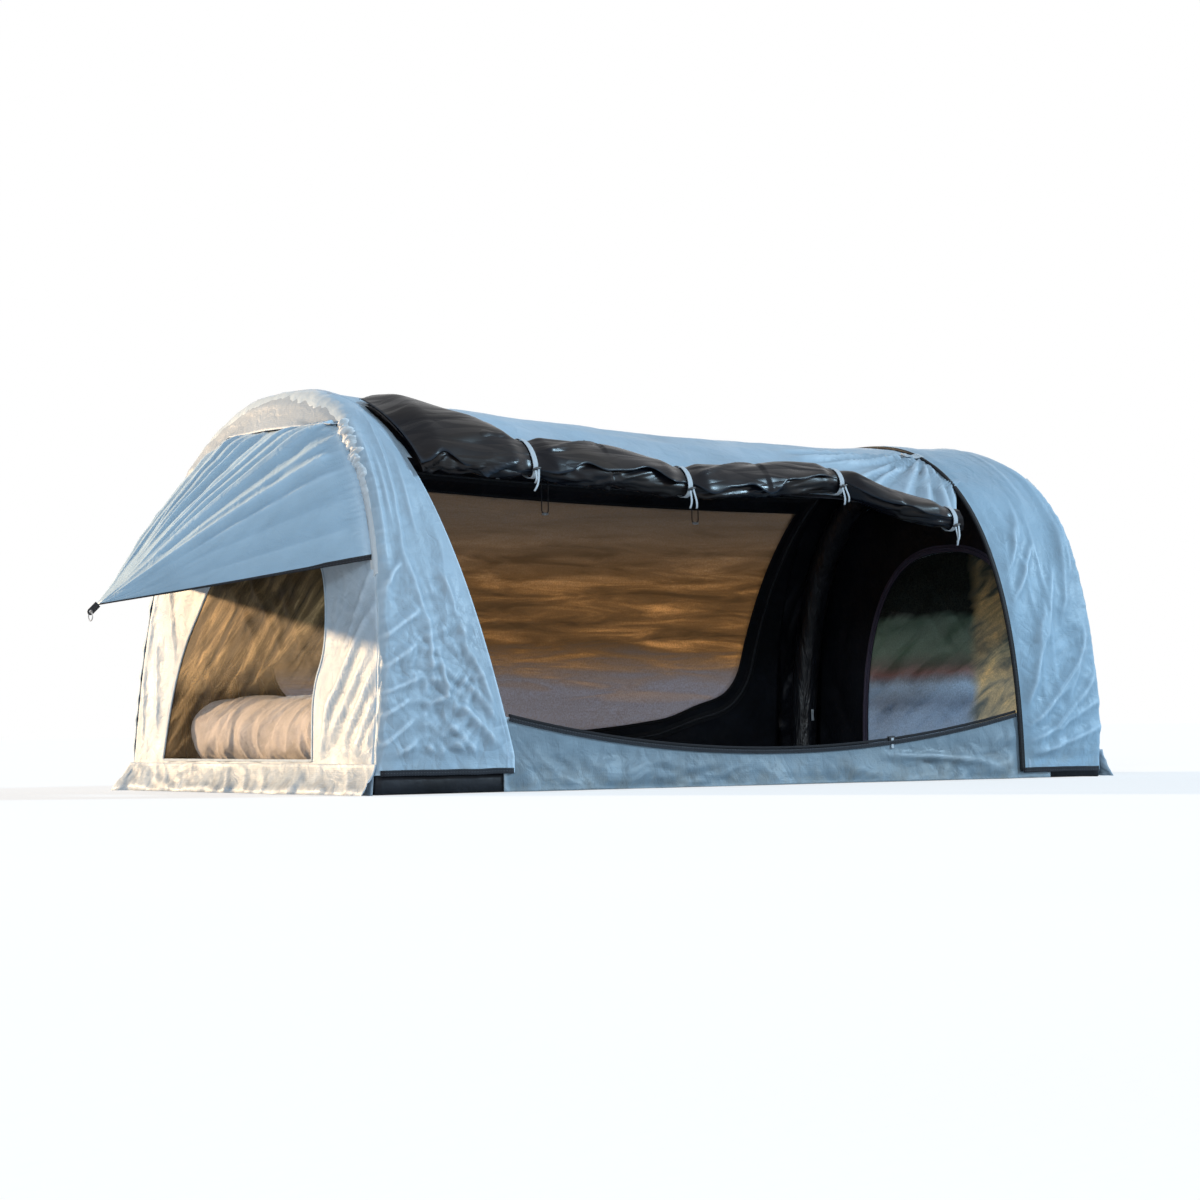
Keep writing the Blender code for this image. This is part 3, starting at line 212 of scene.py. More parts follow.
def closed(points, count):
    """A closed line of count points, evenly spaced along the given outline."""
    return spaced(np.concatenate([points, points[:1]]), count + 1)[:-1]


class End:
    """One end of the tent: the heights of its hem, flap, awning's lower corner and tip, and its planes."""

    def __init__(self, name, sign, ridge, hem, flap, stop, tip):
        self.name, self.sign, self.ridge, self.hem = name, sign, ridge, hem
        self.flap, self.stop, self.tip_z = flap, stop, tip

    def wall(self, z):
        """The end wall's x: the head's leans in."""
        return at(0.087 * z) if self.sign < 0 else at(LENGTH) + 0 * z

    def edge(self, z):
        """The x of the cover's inner edge."""
        if self.sign < 0:
            return at(0.371 - 0.254 * np.maximum(z - 0.085, 0.0))
        return at(LENGTH - 0.273 - 0.038 * z)

    def edge_round(self, z, angle):
        """The cover's inner edge round the arch: on the far side the foot's stops short of the mesh door."""
        return self.edge(z) + (0.090 * ease(angle, 1.75, 2.10) if self.sign > 0 else 0.0)

    def beam(self, z):
        return at(0.185 - 0.065 * z) if self.sign < 0 else at(LENGTH - 0.065) + 0 * z

    def tip(self):
        return np.array((self.wall(self.stop) + self.sign * AWNING_REACH, 0.0, self.tip_z))

    def swing(self):
        """The awning's hinge as given to its cloth: the tent, the awning's name, and two points 0.012 and
        0.340 out from its sewn top, from not following at all to following wholly; nothing here makes the
        cloth follow it.
        """
        low, high = (np.array((float(self.wall(z)), 0.0, z)) for z in (self.stop, self.flap))
        up = (high - low) / np.linalg.norm(high - low)
        out = self.sign * np.array((up[2], 0.0, -up[0]))
        return "tent", self.name + "_awning", tuple(high + 0.012 * out), tuple(high + 0.340 * out)


HEAD = End("head", -1, HEAD_RIDGE, 0.045, 0.865, 0.529, 0.443)
FOOT = End("foot", 1, FOOT_RIDGE, 0.018, 0.798, 0.488, 0.409)
ENDS = (HEAD, FOOT)


def ridge_at(share):
    """The ridge's height between the covers, with its sag."""
    return HEAD_RIDGE + share * (FOOT_RIDGE - HEAD_RIDGE) - RIDGE_SAG * 4 * share * (1 - share)


def body_point(distance, angle, inset=SKIN):
    """Points of the body skin at distances from the head end and angles round the arch."""
    x = at(distance)
    start = HEAD.edge(arch(angle, HEAD_RIDGE, inset)[1])
    stop = FOOT.edge(arch(angle, FOOT_RIDGE, inset)[1])
    share = np.clip((x - start) / (stop - start), 0.0, 1.0)
    y, z = arch(angle, ridge_at(share), inset)
    return np.stack(np.broadcast_arrays(x, y, z), -1)


def side_skin(x, z, side, inset=SKIN):
    """Points of the body skin at places (x, z) of the side view."""
    start, stop = HEAD.edge(z), FOOT.edge(z)
    ridge = ridge_at(np.clip((x - start) / (stop - start), 0.0, 1.0)) - inset
    y = (WIDTH / 2 - inset) * (1 - np.clip(z / ridge, 0, 1) ** ARCH_POWER) ** (1 / ARCH_POWER)
    return np.stack(np.broadcast_arrays(x, side * y, z), -1)


def sill(x):
    """The height of the curved zip over the near sill."""
    return SILL_CENTRE - np.sqrt(SILL_RADIUS ** 2 - (x - SILL_X) ** 2)


def near_roof_angle(distance):
    """Where the roof ends above the near doorway."""
    return NEAR_ROOF_ANGLE - math.radians(7.0) * ease(distance, 1.45, 1.83)


# Meshes


def surface_normals(points, centre, wrap):
    """Normals of a grid of points that face away from the centre, and whether its faces need turning."""
    padded = np.concatenate([points[:, -1:], points, points[:, :1]], 1) if wrap else points
    across = np.gradient(padded, axis=1)
    across = across[:, 1:-1] if wrap else across
    normals = np.cross(across, np.gradient(points, axis=0))
    normals /= np.maximum(np.linalg.norm(normals, axis=-1, keepdims=True), 1e-12)
    away = float(np.sum(normals * (points - centre)))
    return (normals, False) if away > 0 else (-normals, True)


def grid_mesh(name, points, flip=False, wrap=False, loop=False, caps=False):
    """A mesh of quads over rows and columns of points, with UVs in metres."""
    rows, columns = points.shape[:2]
    i = np.arange(rows if loop else rows - 1)[:, None]
    j = np.arange(columns if wrap else columns - 1)[None, :]
    below, right = (i + 1) % rows, (j + 1) % columns
    faces = np.stack([i * columns + j, i * columns + right, below * columns + right,
                      below * columns + j], -1).reshape(-1, 4)
    if flip:
        faces = faces[:, ::-1]
    faces = faces.tolist()
    if caps:
        ring = list(range(columns))
        faces += [ring if flip else ring[::-1]]
        last = [(rows - 1) * columns + k for k in range(columns)]
        faces += [last[::-1] if flip else last]
    data = bpy.data.meshes.new(name)
    data.from_pydata(points.reshape(-1, 3).tolist(), [], faces)
    middle = points[rows // 2], points[:, columns // 2]
    u, v = np.meshgrid(lengths(middle[0]), lengths(middle[1]))
    spots = np.stack([u, v], -1).reshape(-1, 2)
    loops = np.zeros(len(data.loops), int)
    data.loops.foreach_get("vertex_index", loops)
    data.uv_layers.new(name="UVMap").uv.foreach_set("vector", spots[loops].astype(np.float32).ravel())
    data.shade_smooth()
    obj = bpy.data.objects.new(name, data)
    bpy.context.scene.collection.objects.link(obj)
    return obj


def dress(obj, material, body, node=None):
    """Gives a piece its material, its body, and the CAD node that it stands for; a body given as a tuple only
    has the piece's place baked into its mesh.
    """
    for one in material if isinstance(material, tuple) else (material,):
        obj.data.materials.append(one)
    if isinstance(body, tuple):
        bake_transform(obj)
    else:
        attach(obj, body)
    if node:
        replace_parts(obj, *([node] if isinstance(node, str) else node))
    return obj


def weld(obj):
    """Joins points that meet, such as a fan's middle."""
    mesh = bmesh.new()
    mesh.from_mesh(obj.data)
    bmesh.ops.remove_doubles(mesh, verts=mesh.verts, dist=0.00005)
    bmesh.ops.dissolve_degenerate(mesh, edges=mesh.edges, dist=0.00005)
    mesh.to_mesh(obj.data)
    mesh.free()


def face_outwards(obj):
    mesh = bmesh.new()
    mesh.from_mesh(obj.data)
    bmesh.ops.recalc_face_normals(mesh, faces=mesh.faces)
    mesh.to_mesh(obj.data)
    mesh.free()


def cloth(name, points, lift, material, body="tent", node=None, flat=None,
          thickness=CLOTH, wrap=False, centre=CENTRE):
    """A sheet of fabric over a grid of points, raised by lift along its outward normals."""
    normals, flip = surface_normals(points, centre, wrap)
    raised = points + normals * np.asarray(lift)[..., None]
    obj = grid_mesh(name, raised, flip, wrap)
    weld(obj)
    shell = obj.modifiers.new("fabric", "SOLIDIFY")
    shell.thickness = thickness
    shell.offset = -1.0
    shell.material_offset = 1
    shell.material_offset_rim = 0
    dress(obj, material, body, node)
    area = sum(face.area for face in obj.data.polygons)
    if flat is None:
        flat = (max(lengths(row)[-1] for row in raised),
                max(lengths(raised[:, k])[-1] for k in range(raised.shape[1])))
    area = min(max(area, 0.3 * flat[0] * flat[1]), flat[0] * flat[1])
    return obj


def round_section(radius, sides=12):
    turns = np.linspace(0, 2 * math.pi, sides, endpoint=False)
    return radius * np.stack([np.cos(turns), np.sin(turns)], -1)


def flat_section(width, thickness, steps=3):
    """A strap's section: flat faces and rounded edges."""
    if thickness > width:
        return flat_section(thickness, width, steps)[:, ::-1]
    half, radius = width / 2, thickness / 2
    turns = np.linspace(-math.pi / 2, math.pi / 2, steps + 2)
    right = np.stack([half - radius + radius * np.cos(turns), radius * np.sin(turns)], -1)
    inner = np.linspace(0.8, -0.8, 3)[:, None] * (half - radius)
    top = np.concatenate([inner, radius + 0 * inner], 1)
    return np.concatenate([right, top, -right, -top])


def sweep(name, line, across, section, material, body="tent", node=None, loop=False,
          scale=None):
    """A section of (across, out) drawn along a line of points."""
    line = np.asarray(line, float)
    if loop:
        tangent = np.roll(line, -1, axis=0) - np.roll(line, 1, axis=0)
    else:
        tangent = np.gradient(line, axis=0)
    tangent /= np.linalg.norm(tangent, axis=-1, keepdims=True)
    out = np.cross(tangent, np.broadcast_to(across, line.shape))
    out /= np.linalg.norm(out, axis=-1, keepdims=True)
    side = np.cross(out, tangent)
    size = np.ones(len(line)) if scale is None else np.asarray(scale)
    spots = size[:, None, None] * section[None]
    points = line[:, None] + side[:, None] * spots[..., :1] + out[:, None] * spots[..., 1:]
    obj = grid_mesh(name, points, wrap=True, loop=loop, caps=not loop)
    face_outwards(obj)
    return dress(obj, material, body, node)


def join(objects, name):
    """One piece out of several that ride on the same body."""
    for obj in bpy.context.selected_objects:
        obj.select_set(False)
    for obj in objects:
        obj.select_set(True)
    bpy.context.view_layer.objects.active = objects[0]
    stood = sorted({node for obj in objects for node in obj.get("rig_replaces", [])})
    bpy.ops.object.join()
    objects[0].name = name
    if stood:
        objects[0]["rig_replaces"] = stood
    return objects[0]


# Materials


def shade(colour, factor):
    """A colour made lighter or darker."""
    return tuple(min(1.0, factor * c) for c in colour)


class Shader:
    """A node material under construction."""

    def __init__(self, name):
        self.material = bpy.data.materials.new(name)
        self.material.use_nodes = True
        self.tree = self.material.node_tree
        self.tree.nodes.clear()
        self.place = self.add("ShaderNodeTexCoord").outputs["Object"]

    def add(self, kind, inputs=None, **settings):
        made = self.tree.nodes.new(kind)
        for key, value in settings.items():
            setattr(made, key, value)
        for key, value in (inputs or {}).items():
            if isinstance(value, bpy.types.Node):
                value = value.outputs[0]
            if isinstance(value, bpy.types.NodeSocket):
                self.tree.links.new(value, made.inputs[key])
            else:
                made.inputs[key].default_value = value
        return made

    def uv(self):
        return self.add("ShaderNodeTexCoord").outputs["UV"]

    def stretch(self, vector, scale, turn=(0, 0, 0)):
        return self.add("ShaderNodeMapping", {"Vector": vector, "Scale": scale, "Rotation": turn})

    def noise(self, scale, detail=3.0, rough=0.5, twist=0.0, vector=None):
        return self.add("ShaderNodeTexNoise",
                        {"Vector": vector or self.place, "Scale": scale, "Detail": detail,
                         "Roughness": rough, "Distortion": twist}).outputs[0]

    def wave(self, scale, vector, direction="X", twist=0.0):
        return self.add("ShaderNodeTexWave", {"Vector": vector, "Scale": scale, "Distortion": twist},
                        bands_direction=direction).outputs[1]

    def cells(self, scale, vector=None):
        return self.add("ShaderNodeTexVoronoi", {"Vector": vector or self.place, "Scale": scale},
                        feature="DISTANCE_TO_EDGE").outputs[0]

    def bent(self, amount, scale, vector):
        """Places shifted by a smooth noise."""
        shift = self.add("ShaderNodeTexNoise", {"Vector": vector, "Scale": scale}).outputs["Color"]
        shift = self.add("ShaderNodeVectorMath", {0: shift, 1: (0.5, 0.5, 0.5)}, operation="SUBTRACT")
        shift = self.add("ShaderNodeVectorMath", {0: shift, "Scale": amount}, operation="SCALE")
        return self.add("ShaderNodeVectorMath", {0: vector, 1: shift}, operation="ADD").outputs[0]

    def math(self, operation, a, b=0.0, clamp=False):
        return self.add("ShaderNodeMath", {0: a, 1: b}, operation=operation, use_clamp=clamp).outputs[0]

    def span(self, value, low, high, to_low=0.0, to_high=1.0):
        return self.add("ShaderNodeMapRange", {0: value, 1: low, 2: high, 3: to_low, 4: to_high}).outputs[0]

    def part(self, axis, vector=None):
        return self.add("ShaderNodeSeparateXYZ", {0: vector or self.place}).outputs[axis]

    def mix(self, share, a, b, how="MIX"):
        a, b = [(*c, 1.0) if isinstance(c, tuple) and len(c) == 3 else c for c in (a, b)]
        return self.add("ShaderNodeMix", {0: share, 6: a, 7: b}, data_type="RGBA", blend_type=how,
                        clamp_factor=True).outputs[2]

    def ramp(self, value, *stops):
        node = self.add("ShaderNodeValToRGB", {0: value})
        points = node.color_ramp.elements
        while len(points) < len(stops):
            points.new(0.5)
        for point, (place, colour) in zip(points, stops):
            point.position = place
            point.color = (*colour, 1.0) if isinstance(colour, tuple) else (colour, colour, colour, 1.0)
        return node.outputs[0]

    def bump(self, height, distance, strength=1.0, under=None):
        inputs = {"Height": height, "Distance": distance, "Strength": strength}
        if under:
            inputs["Normal"] = under
        return self.add("ShaderNodeBump", inputs).outputs[0]

    def close(self, colour, rough, normal, metallic=0.0, alpha=None, sheen=0.0, gloss=0.5, glow=None,
              glow_share=0.5):
        colour = (*colour, 1.0) if isinstance(colour, tuple) else colour
        shader = self.add("ShaderNodeBsdfPrincipled",
                          {"Base Color": colour, "Roughness": rough, "Normal": normal, "Metallic": metallic,
                           "Sheen Weight": sheen, "Specular IOR Level": gloss})
        surface = shader.outputs[0]
        if glow:
            through = self.add("ShaderNodeBsdfTranslucent", {"Color": glow, "Normal": normal})
            surface = self.add("ShaderNodeMixShader", {0: glow_share, 1: surface, 2: through}).outputs[0]
        if alpha is not None:
            clear = self.add("ShaderNodeBsdfTransparent")
            surface = self.add("ShaderNodeMixShader", {0: alpha, 1: clear, 2: surface}).outputs[0]
        self.add("ShaderNodeOutputMaterial", {"Surface": surface})
        return self.material


def coated_nylon(name, colour, shine=0.5, dirt=0.0, crush=0.0):
    """Silver-coated tent cloth: fine ripstop weave, small creases, cloudy tone, painted shade in its creases
    and painted highlights on its crests, and dust near the ground.

    crush says how strongly its lower part is creased into flat facets.
    """
    s = Shader(name)
    cloud = s.noise(3.0, 4.0, 0.6)
    crease = s.noise(26.0, 3.0, 0.55, 1.2)
    fine = s.noise(140.0, 2.0)
    uv = s.uv()
    grid = s.math("MAXIMUM", s.wave(62.0, uv, "X"), s.wave(62.0, uv, "Y"))
    rip = s.math("GREATER_THAN", grid, 0.985)
    light = shade(colour, 1.10)
    tone = s.mix(s.span(cloud, 0.3, 0.7), shade(colour, 0.82), light)
    tone = s.mix(s.math("MULTIPLY", rip, 0.10), tone, light)
    bend = s.add("ShaderNodeNewGeometry").outputs["Pointiness"]
    # Painted shade and painted highlight: darker where the surface is hollow, in the creases, and lighter
    # where it is sharply convex, on the crests.
    tone = s.mix(s.span(bend, 0.50, 0.44, 0.0, 0.65), tone, shade(colour, 0.38))
    tone = s.mix(s.span(bend, 0.505, 0.56, 0.0, 0.65), tone, tuple(min(1.0, c + 0.28) for c in colour))
    if dirt:
        low = s.span(s.part(2), 0.10, 0.0)
        dusty = s.math("MULTIPLY", low, s.span(s.noise(18.0, 5.0, 0.7), 0.42, 0.62))
        tone = s.mix(s.math("MULTIPLY", dusty, dirt), tone, (0.30, 0.24, 0.16))
    rough = s.span(s.noise(9.0, 3.0), 0.3, 0.7, shine - 0.08, shine + 0.12)
    normal = s.bump(crease, 0.006, 0.5)
    if crush:
        low = s.span(s.part(2), 0.66, 0.36, 0.12, crush)
        places = s.bent(0.10, 5.0, s.stretch(s.place, (1.0, 1.0, 0.72), (0.0, 0.55, 0.0)))
        for scale, depth in ((8.0, 0.024), (19.0, 0.0085)):
            facet = s.math("MULTIPLY", s.cells(scale, places), low)
            normal = s.bump(facet, depth, 0.9, normal)
    normal = s.bump(fine, 0.0008, 0.4, normal)
    normal = s.bump(grid, 0.0004, 0.3, normal)
    return s.close(tone, rough, normal, sheen=0.1, gloss=0.35)


def black_cloth(name, shine=0.42, colour=(0.006, 0.0065, 0.009), streak=(1, 1, 1), depth=0.010, gloss=0.22):
    """Black coated lining: glossy where it is taut, with soft creases."""
    s = Shader(name)
    streaks = s.stretch(s.place, streak)
    crease = s.noise(16.0, 3.0, 0.6, 0.25, streaks)
    fine = s.noise(220.0, 2.0)
    tone = s.mix(s.span(s.noise(5.0, 3.0), 0.35, 0.7), colour, shade(colour, 2.6))
    rough = s.span(crease, 0.3, 0.7, shine - 0.10, shine + 0.16)
    normal = s.bump(crease, depth, 0.6)
    normal = s.bump(fine, 0.0006, 0.4, normal)
    return s.close(tone, rough, normal, gloss=gloss)


def polished_cloth(name):
    """The coated lining where it is wound up: glossy, with flat facets between long creases and a painted
    pale blue highlight on its sharp crests.
    """
    s = Shader(name)
    soft = s.noise(6.0, 1.0, 0.5, 0.8, s.stretch(s.place, (0.45, 1.6, 1.6)))
    places = s.bent(0.25, 3.0, s.stretch(s.place, (0.45, 1.5, 1.5)))
    tone = s.mix(s.span(soft, 0.40, 0.62), (0.0030, 0.0040, 0.0075), (0.010, 0.0075, 0.007))
    bend = s.add("ShaderNodeNewGeometry").outputs["Pointiness"]
    # Painted highlight: a pale blue tint on sharply convex crests, standing in for the sky's reflection on
    # them.
    tone = s.mix(s.span(bend, 0.52, 0.62, 0.0, 0.5), tone, (0.05, 0.075, 0.11))
    rough = s.span(soft, 0.3, 0.7, 0.24, 0.40)
    normal = s.bump(soft, 0.020, 0.5)
    for scale, depth in ((6.0, 0.016), (14.0, 0.0045)):
        normal = s.bump(s.cells(scale, places), depth, 0.8, normal)
    return s.close(tone, rough, normal, gloss=0.20)


def webbing(name, colour):
    """Woven strap: ribs along it, a herringbone across and faint darker mottling."""
    s = Shader(name)
    uv = s.uv()
    rib = s.wave(150.0, uv, "X")
    bone = s.wave(90.0, s.stretch(uv, (1, 1, 1), (0, 0, 0.8)), "X")
    weave = s.math("ADD", s.math("MULTIPLY", rib, 0.6), s.math("MULTIPLY", bone, 0.4))
    tone = s.mix(s.span(weave, 0.2, 0.8), shade(colour, 0.7), shade(colour, 1.15))
    tone = s.mix(s.math("MULTIPLY", s.noise(30.0, 3.0), 0.3), tone, shade(colour, 0.6))
    normal = s.bump(weave, 0.0006, 0.6)
    return s.close(tone, s.span(weave, 0.0, 1.0, 0.78, 0.62), normal, sheen=0.2)


def stitched(name, colour, thread):
    """A folded hem: plain cloth with a line of stitches along each side of it."""
    s = Shader(name)
    uv = s.uv()
    dash = s.math("GREATER_THAN", s.wave(40.0, uv, "Y"), 0.45)
    side = s.wave(52.0, uv, "X")
    line = s.math("MULTIPLY", s.math("GREATER_THAN", side, 0.93), dash)
    cloudy = s.noise(24.0, 3.0, 0.6, 0.8)
    tone = s.mix(s.span(cloudy, 0.3, 0.7), shade(colour, 0.8), shade(colour, 1.2))
    tone = s.mix(s.math("MULTIPLY", line, 0.75), tone, thread)
    normal = s.bump(cloudy, 0.004, 0.5)
    normal = s.bump(line, 0.0006, 0.7, normal)
    return s.close(tone, s.span(cloudy, 0.2, 0.8, 0.55, 0.70), normal, gloss=0.2)


def zip_material(name, tape=(0.014, 0.014, 0.016), teeth=(0.035, 0.035, 0.04)):
    """A coil zip: two woven tapes with rows of teeth meeting in the middle."""
    s = Shader(name)
    uv = s.uv()
    tooth = s.wave(120.0, uv, "Y")
    weave = s.noise(300.0, 2.0)
    tone = s.mix(s.math("GREATER_THAN", tooth, 0.5), tape, teeth)
    normal = s.bump(tooth, 0.0010, 0.7)
    normal = s.bump(weave, 0.0004, 0.4, normal)
    return s.close(tone, s.span(tooth, 0.0, 1.0, 0.60, 0.40), normal, gloss=0.12)


def insect_mesh(name, tones, share, heights, glow=0.4, streak=(1.4, 1.4, 9.0), grey=None, top=None, twist=0.7,
                lean=0.0, near=None, bands=None):
    """No-see-um mesh: a fine net whose slack folds carry painted shade and painted sunlight.

    tones are its dark, middle and light colours, ramped over the folds from painted shade in their valleys to
    painted sunlight on their crests; share says how much it covers at the two heights, and grey and top are
    the tones that it fades to below and above, each with the heights between which it does. near is a painted
    patch of sunlight
    towards one side: its colour, the sideways places between which it comes in, and its strength. bands are
    heights and tones for what is seen level beyond it.
    """
    s = Shader(name)
    slack = s.stretch(s.stretch(s.place, (1, 1, 1), (lean, 0, 0)), streak)
    fold = s.noise(2.6, 4.0, 0.60, twist, slack)
    grain = s.noise(240.0, 3.0, 0.7)
    net = s.math("MULTIPLY", s.wave(180.0, s.uv(), "X"), s.wave(180.0, s.uv(), "Y"))
    # Painted shade and sunlight: the fold noise ramps from the dark tone in the valleys to the golden light
    # tone on the crests.
    tone = s.ramp(fold, (0.34, tones[0]), (0.52, tones[1]), (0.72, tones[2]))
    height = s.part(2)
    loose = 0.008 if bands else 0.040
    wander = s.math("ADD", height, s.span(fold, 0.3, 0.7, -loose, loose))
    if bands:
        low, high = bands[0][0], bands[-1][0]
        level = s.span(wander, low, high)
        tone = s.ramp(level, *[((z - low) / (high - low), colour) for z, colour in bands])
    for colour, start, stop, strength in (grey, top):
        tone = s.mix(s.span(wander, start, stop, 0.0, strength), tone, colour)
    # Painted pool of sunlight: near turns the mesh towards its colour between two sideways places.
    if near:
        colour, start, stop, strength = near
        beside = s.math("ADD", s.part(1), s.span(fold, 0.3, 0.7, -0.02, 0.02))
        edge = s.span(beside, start, stop, 0.0, strength)
        tone = s.mix(edge, tone, s.mix(s.span(fold, 0.36, 0.64), tones[0], colour))
    tone = s.mix(s.span(grain, 0.35, 0.65, 0.0, 0.75), tone, s.mix(0.62, tone, tones[0]))
    cover = s.span(height, heights[0], heights[1], share[0], share[1])
    cover = s.math("ADD", cover, s.span(fold, 0.5, 0.8, 0.0, 0.15))
    cover = s.math("ADD", cover, s.span(net, 0.0, 1.0, 0.06, -0.06), clamp=True)
    normal = s.bump(fold, 0.012, 0.5)
    normal = s.bump(net, 0.0004, 0.4, normal)
    return s.close(tone, 0.6, normal, alpha=cover, gloss=0.25, glow=tone, glow_share=glow)


def bedding(name, colour):
    """Brushed cotton: soft pile, a cloudy tone and soft creases."""
    s = Shader(name)
    cloud = s.noise(11.0, 4.0, 0.65, 0.6)
    pile = s.noise(260.0, 3.0, 0.7)
    tone = s.mix(s.span(cloud, 0.3, 0.7), shade(colour, 0.62), shade(colour, 1.12))
    tone = s.mix(s.math("MULTIPLY", pile, 0.25), tone, shade(colour, 0.7))
    normal = s.bump(s.noise(40.0, 3.0, 0.6, 1.0), 0.006, 0.5)
    normal = s.bump(pile, 0.0012, 0.5, normal)
    return s.close(tone, s.span(cloud, 0.2, 0.8, 0.8, 0.95), normal, sheen=0.4)


def moulded(name, colour, rough=0.38):
    """Moulded plastic with a fine spark-eroded grain and slight handling marks."""
    s = Shader(name)
    grain = s.noise(900.0, 2.0)
    marks = s.noise(60.0, 4.0, 0.7)
    tone = s.mix(s.span(marks, 0.4, 0.7), colour, shade(colour, 1.7))
    normal = s.bump(grain, 0.0003, 0.5)
    return s.close(tone, s.span(marks, 0.3, 0.7, rough - 0.08, rough + 0.14), normal)


def steel(name):
    """Drawn steel wire with fine lines and dull spots."""
    s = Shader(name)
    lines = s.noise(500.0, 2.0, 0.5, 0.0, s.stretch(s.place, (1, 1, 9)))
    spots = s.noise(120.0, 3.0)
    tone = s.mix(s.span(spots, 0.4, 0.7), (0.60, 0.60, 0.61), (0.40, 0.39, 0.38))
    return s.close(tone, s.span(spots, 0.3, 0.7, 0.22, 0.42), s.bump(lines, 0.0002, 0.5), metallic=1.0)


SILVER = coated_nylon("silver_cloth", (0.395, 0.495, 0.585), 0.50, 0.35, 1.0)
SILVER_SMOOTH = coated_nylon("silver_cloth_taut", (0.42, 0.58, 0.72), 0.46)
WALL = coated_nylon("wall_cloth", (0.44, 0.52, 0.60), 0.50, 0.25, 0.22)
# Painted shade: the sill is the same silver cloth at about half its brightness, darkened for the shade it
# stands in.
SILL = coated_nylon("sill_cloth", (0.205, 0.265, 0.315), 0.50, 0.30, 0.5)
# Painted shade: a copy of the silver cloth at about three quarters of its brightness, so that the flap shows
# dimmer than the key light makes it.
FLAP = coated_nylon("flap_cloth", (0.31, 0.375, 0.45), 0.50)
CREASED = coated_nylon("foot_cover_cloth", (0.32, 0.445, 0.55), 0.48, 0.45, 0.30)
# Painted light: the ruffle is a paler, less blue copy of the silver cloth, so that its puckers read as sunlit
# cream.
GATHERED = coated_nylon("gathered_cloth", (0.58, 0.60, 0.62), 0.46)
LINING = black_cloth("black_lining")
SLEEVE = black_cloth("black_sleeve", 0.36, streak=(3, 3, 0.7), depth=0.014, gloss=0.5)
ROLLED = polished_cloth("rolled_lining")
GROUND = black_cloth("ground_cloth", 0.55, (0.010, 0.010, 0.012))
PAD = bedding("mat_cover", (0.045, 0.047, 0.055))
BEDDING = bedding("bolster_cotton", (0.76, 0.68, 0.64))
DARK_HEM = stitched("dark_hem", (0.018, 0.019, 0.024), (0.10, 0.10, 0.11))
SILVER_HEM = stitched("silver_hem", (0.43, 0.52, 0.61), (0.62, 0.66, 0.70))
PIPING = stitched("black_piping", (0.012, 0.012, 0.014), (0.05, 0.05, 0.055))
GREY_PIPING = stitched("grey_piping", (0.10, 0.095, 0.115), (0.16, 0.16, 0.18))
STRAP = webbing("pale_webbing", (0.62, 0.64, 0.67))
DARK_STRAP = webbing("dark_webbing", (0.03, 0.03, 0.035))
ZIP = zip_material("coil_zip")
FAR_ZIP = zip_material("door_zip", (0.022, 0.022, 0.026), (0.09, 0.095, 0.105))
WINDOW_ZIP = zip_material("window_zip", (0.07, 0.055, 0.085), (0.16, 0.13, 0.18))
# Far door mesh: its golden light tone is painted sunlight on its folds; it fades to the grey-blue of the view
# beyond below and to a dull grey above.
FAR_MESH = insect_mesh("far_mesh", ((0.205, 0.158, 0.100), (0.345, 0.262, 0.165), (0.68, 0.52, 0.33)),
                       (0.95, 0.97), (0.15, 0.60), 0.66, (1.3, 1.3, 11.0),
                       ((0.37, 0.43, 0.57), 0.36, 0.24, 0.95), ((0.25, 0.255, 0.27), 0.54, 0.70, 0.85))
# Head window mesh: its golden light tone is painted sunlight, and its dark brown top is the awning's painted
# shadow.
HEAD_MESH = insect_mesh("head_mesh", ((0.05, 0.034, 0.016), (0.20, 0.135, 0.060), (0.85, 0.60, 0.30)),
                        (0.05, 0.82), (0.235, 0.33), 0.35, (1.0, 1.6, 9.0),
                        ((0.36, 0.29, 0.20), 0.20, 0.10, 0.5), ((0.07, 0.045, 0.022), 0.46, 0.56, 0.75),
                        0.5, 0.7)
# Foot window mesh: its golden light tone and its golden near patch are painted sunlight, the patch a painted
# pool of it; its near-black top is the awning's shadowed underside beyond it, and its greys and bands below
# are the view beyond it.
FOOT_MESH = insect_mesh("foot_mesh", ((0.14, 0.15, 0.13), (0.30, 0.35, 0.29), (0.66, 0.52, 0.32)),
                        (0.80, 0.90), (0.10, 0.45), 0.8, (1.0, 2.0, 9.0),
                        ((0.30, 0.36, 0.45), 0.12, 0.09, 0.6), ((0.010, 0.010, 0.011), 0.43, 0.45, 0.92),
                        0.6, 0.5, ((1.0, 0.74, 0.42), -0.09, -0.13, 0.9),
                        ((0.10, (0.38, 0.45, 0.56)), (0.17, (0.40, 0.48, 0.60)),
                         (0.20, (0.30, 0.36, 0.46)), (0.245, (0.50, 0.60, 0.72)),
                         (0.262, (0.40, 0.42, 0.48)), (0.285, (0.42, 0.26, 0.24)),
                         (0.305, (0.24, 0.22, 0.18)), (0.34, (0.26, 0.33, 0.26)),
                         (0.44, (0.24, 0.31, 0.25))))
PLASTIC = moulded("black_plastic", (0.022, 0.022, 0.025))
PALE_PLASTIC = moulded("pale_plastic", (0.55, 0.56, 0.58), 0.45)
STEEL = steel("ring_steel")

# Covers over the two arches

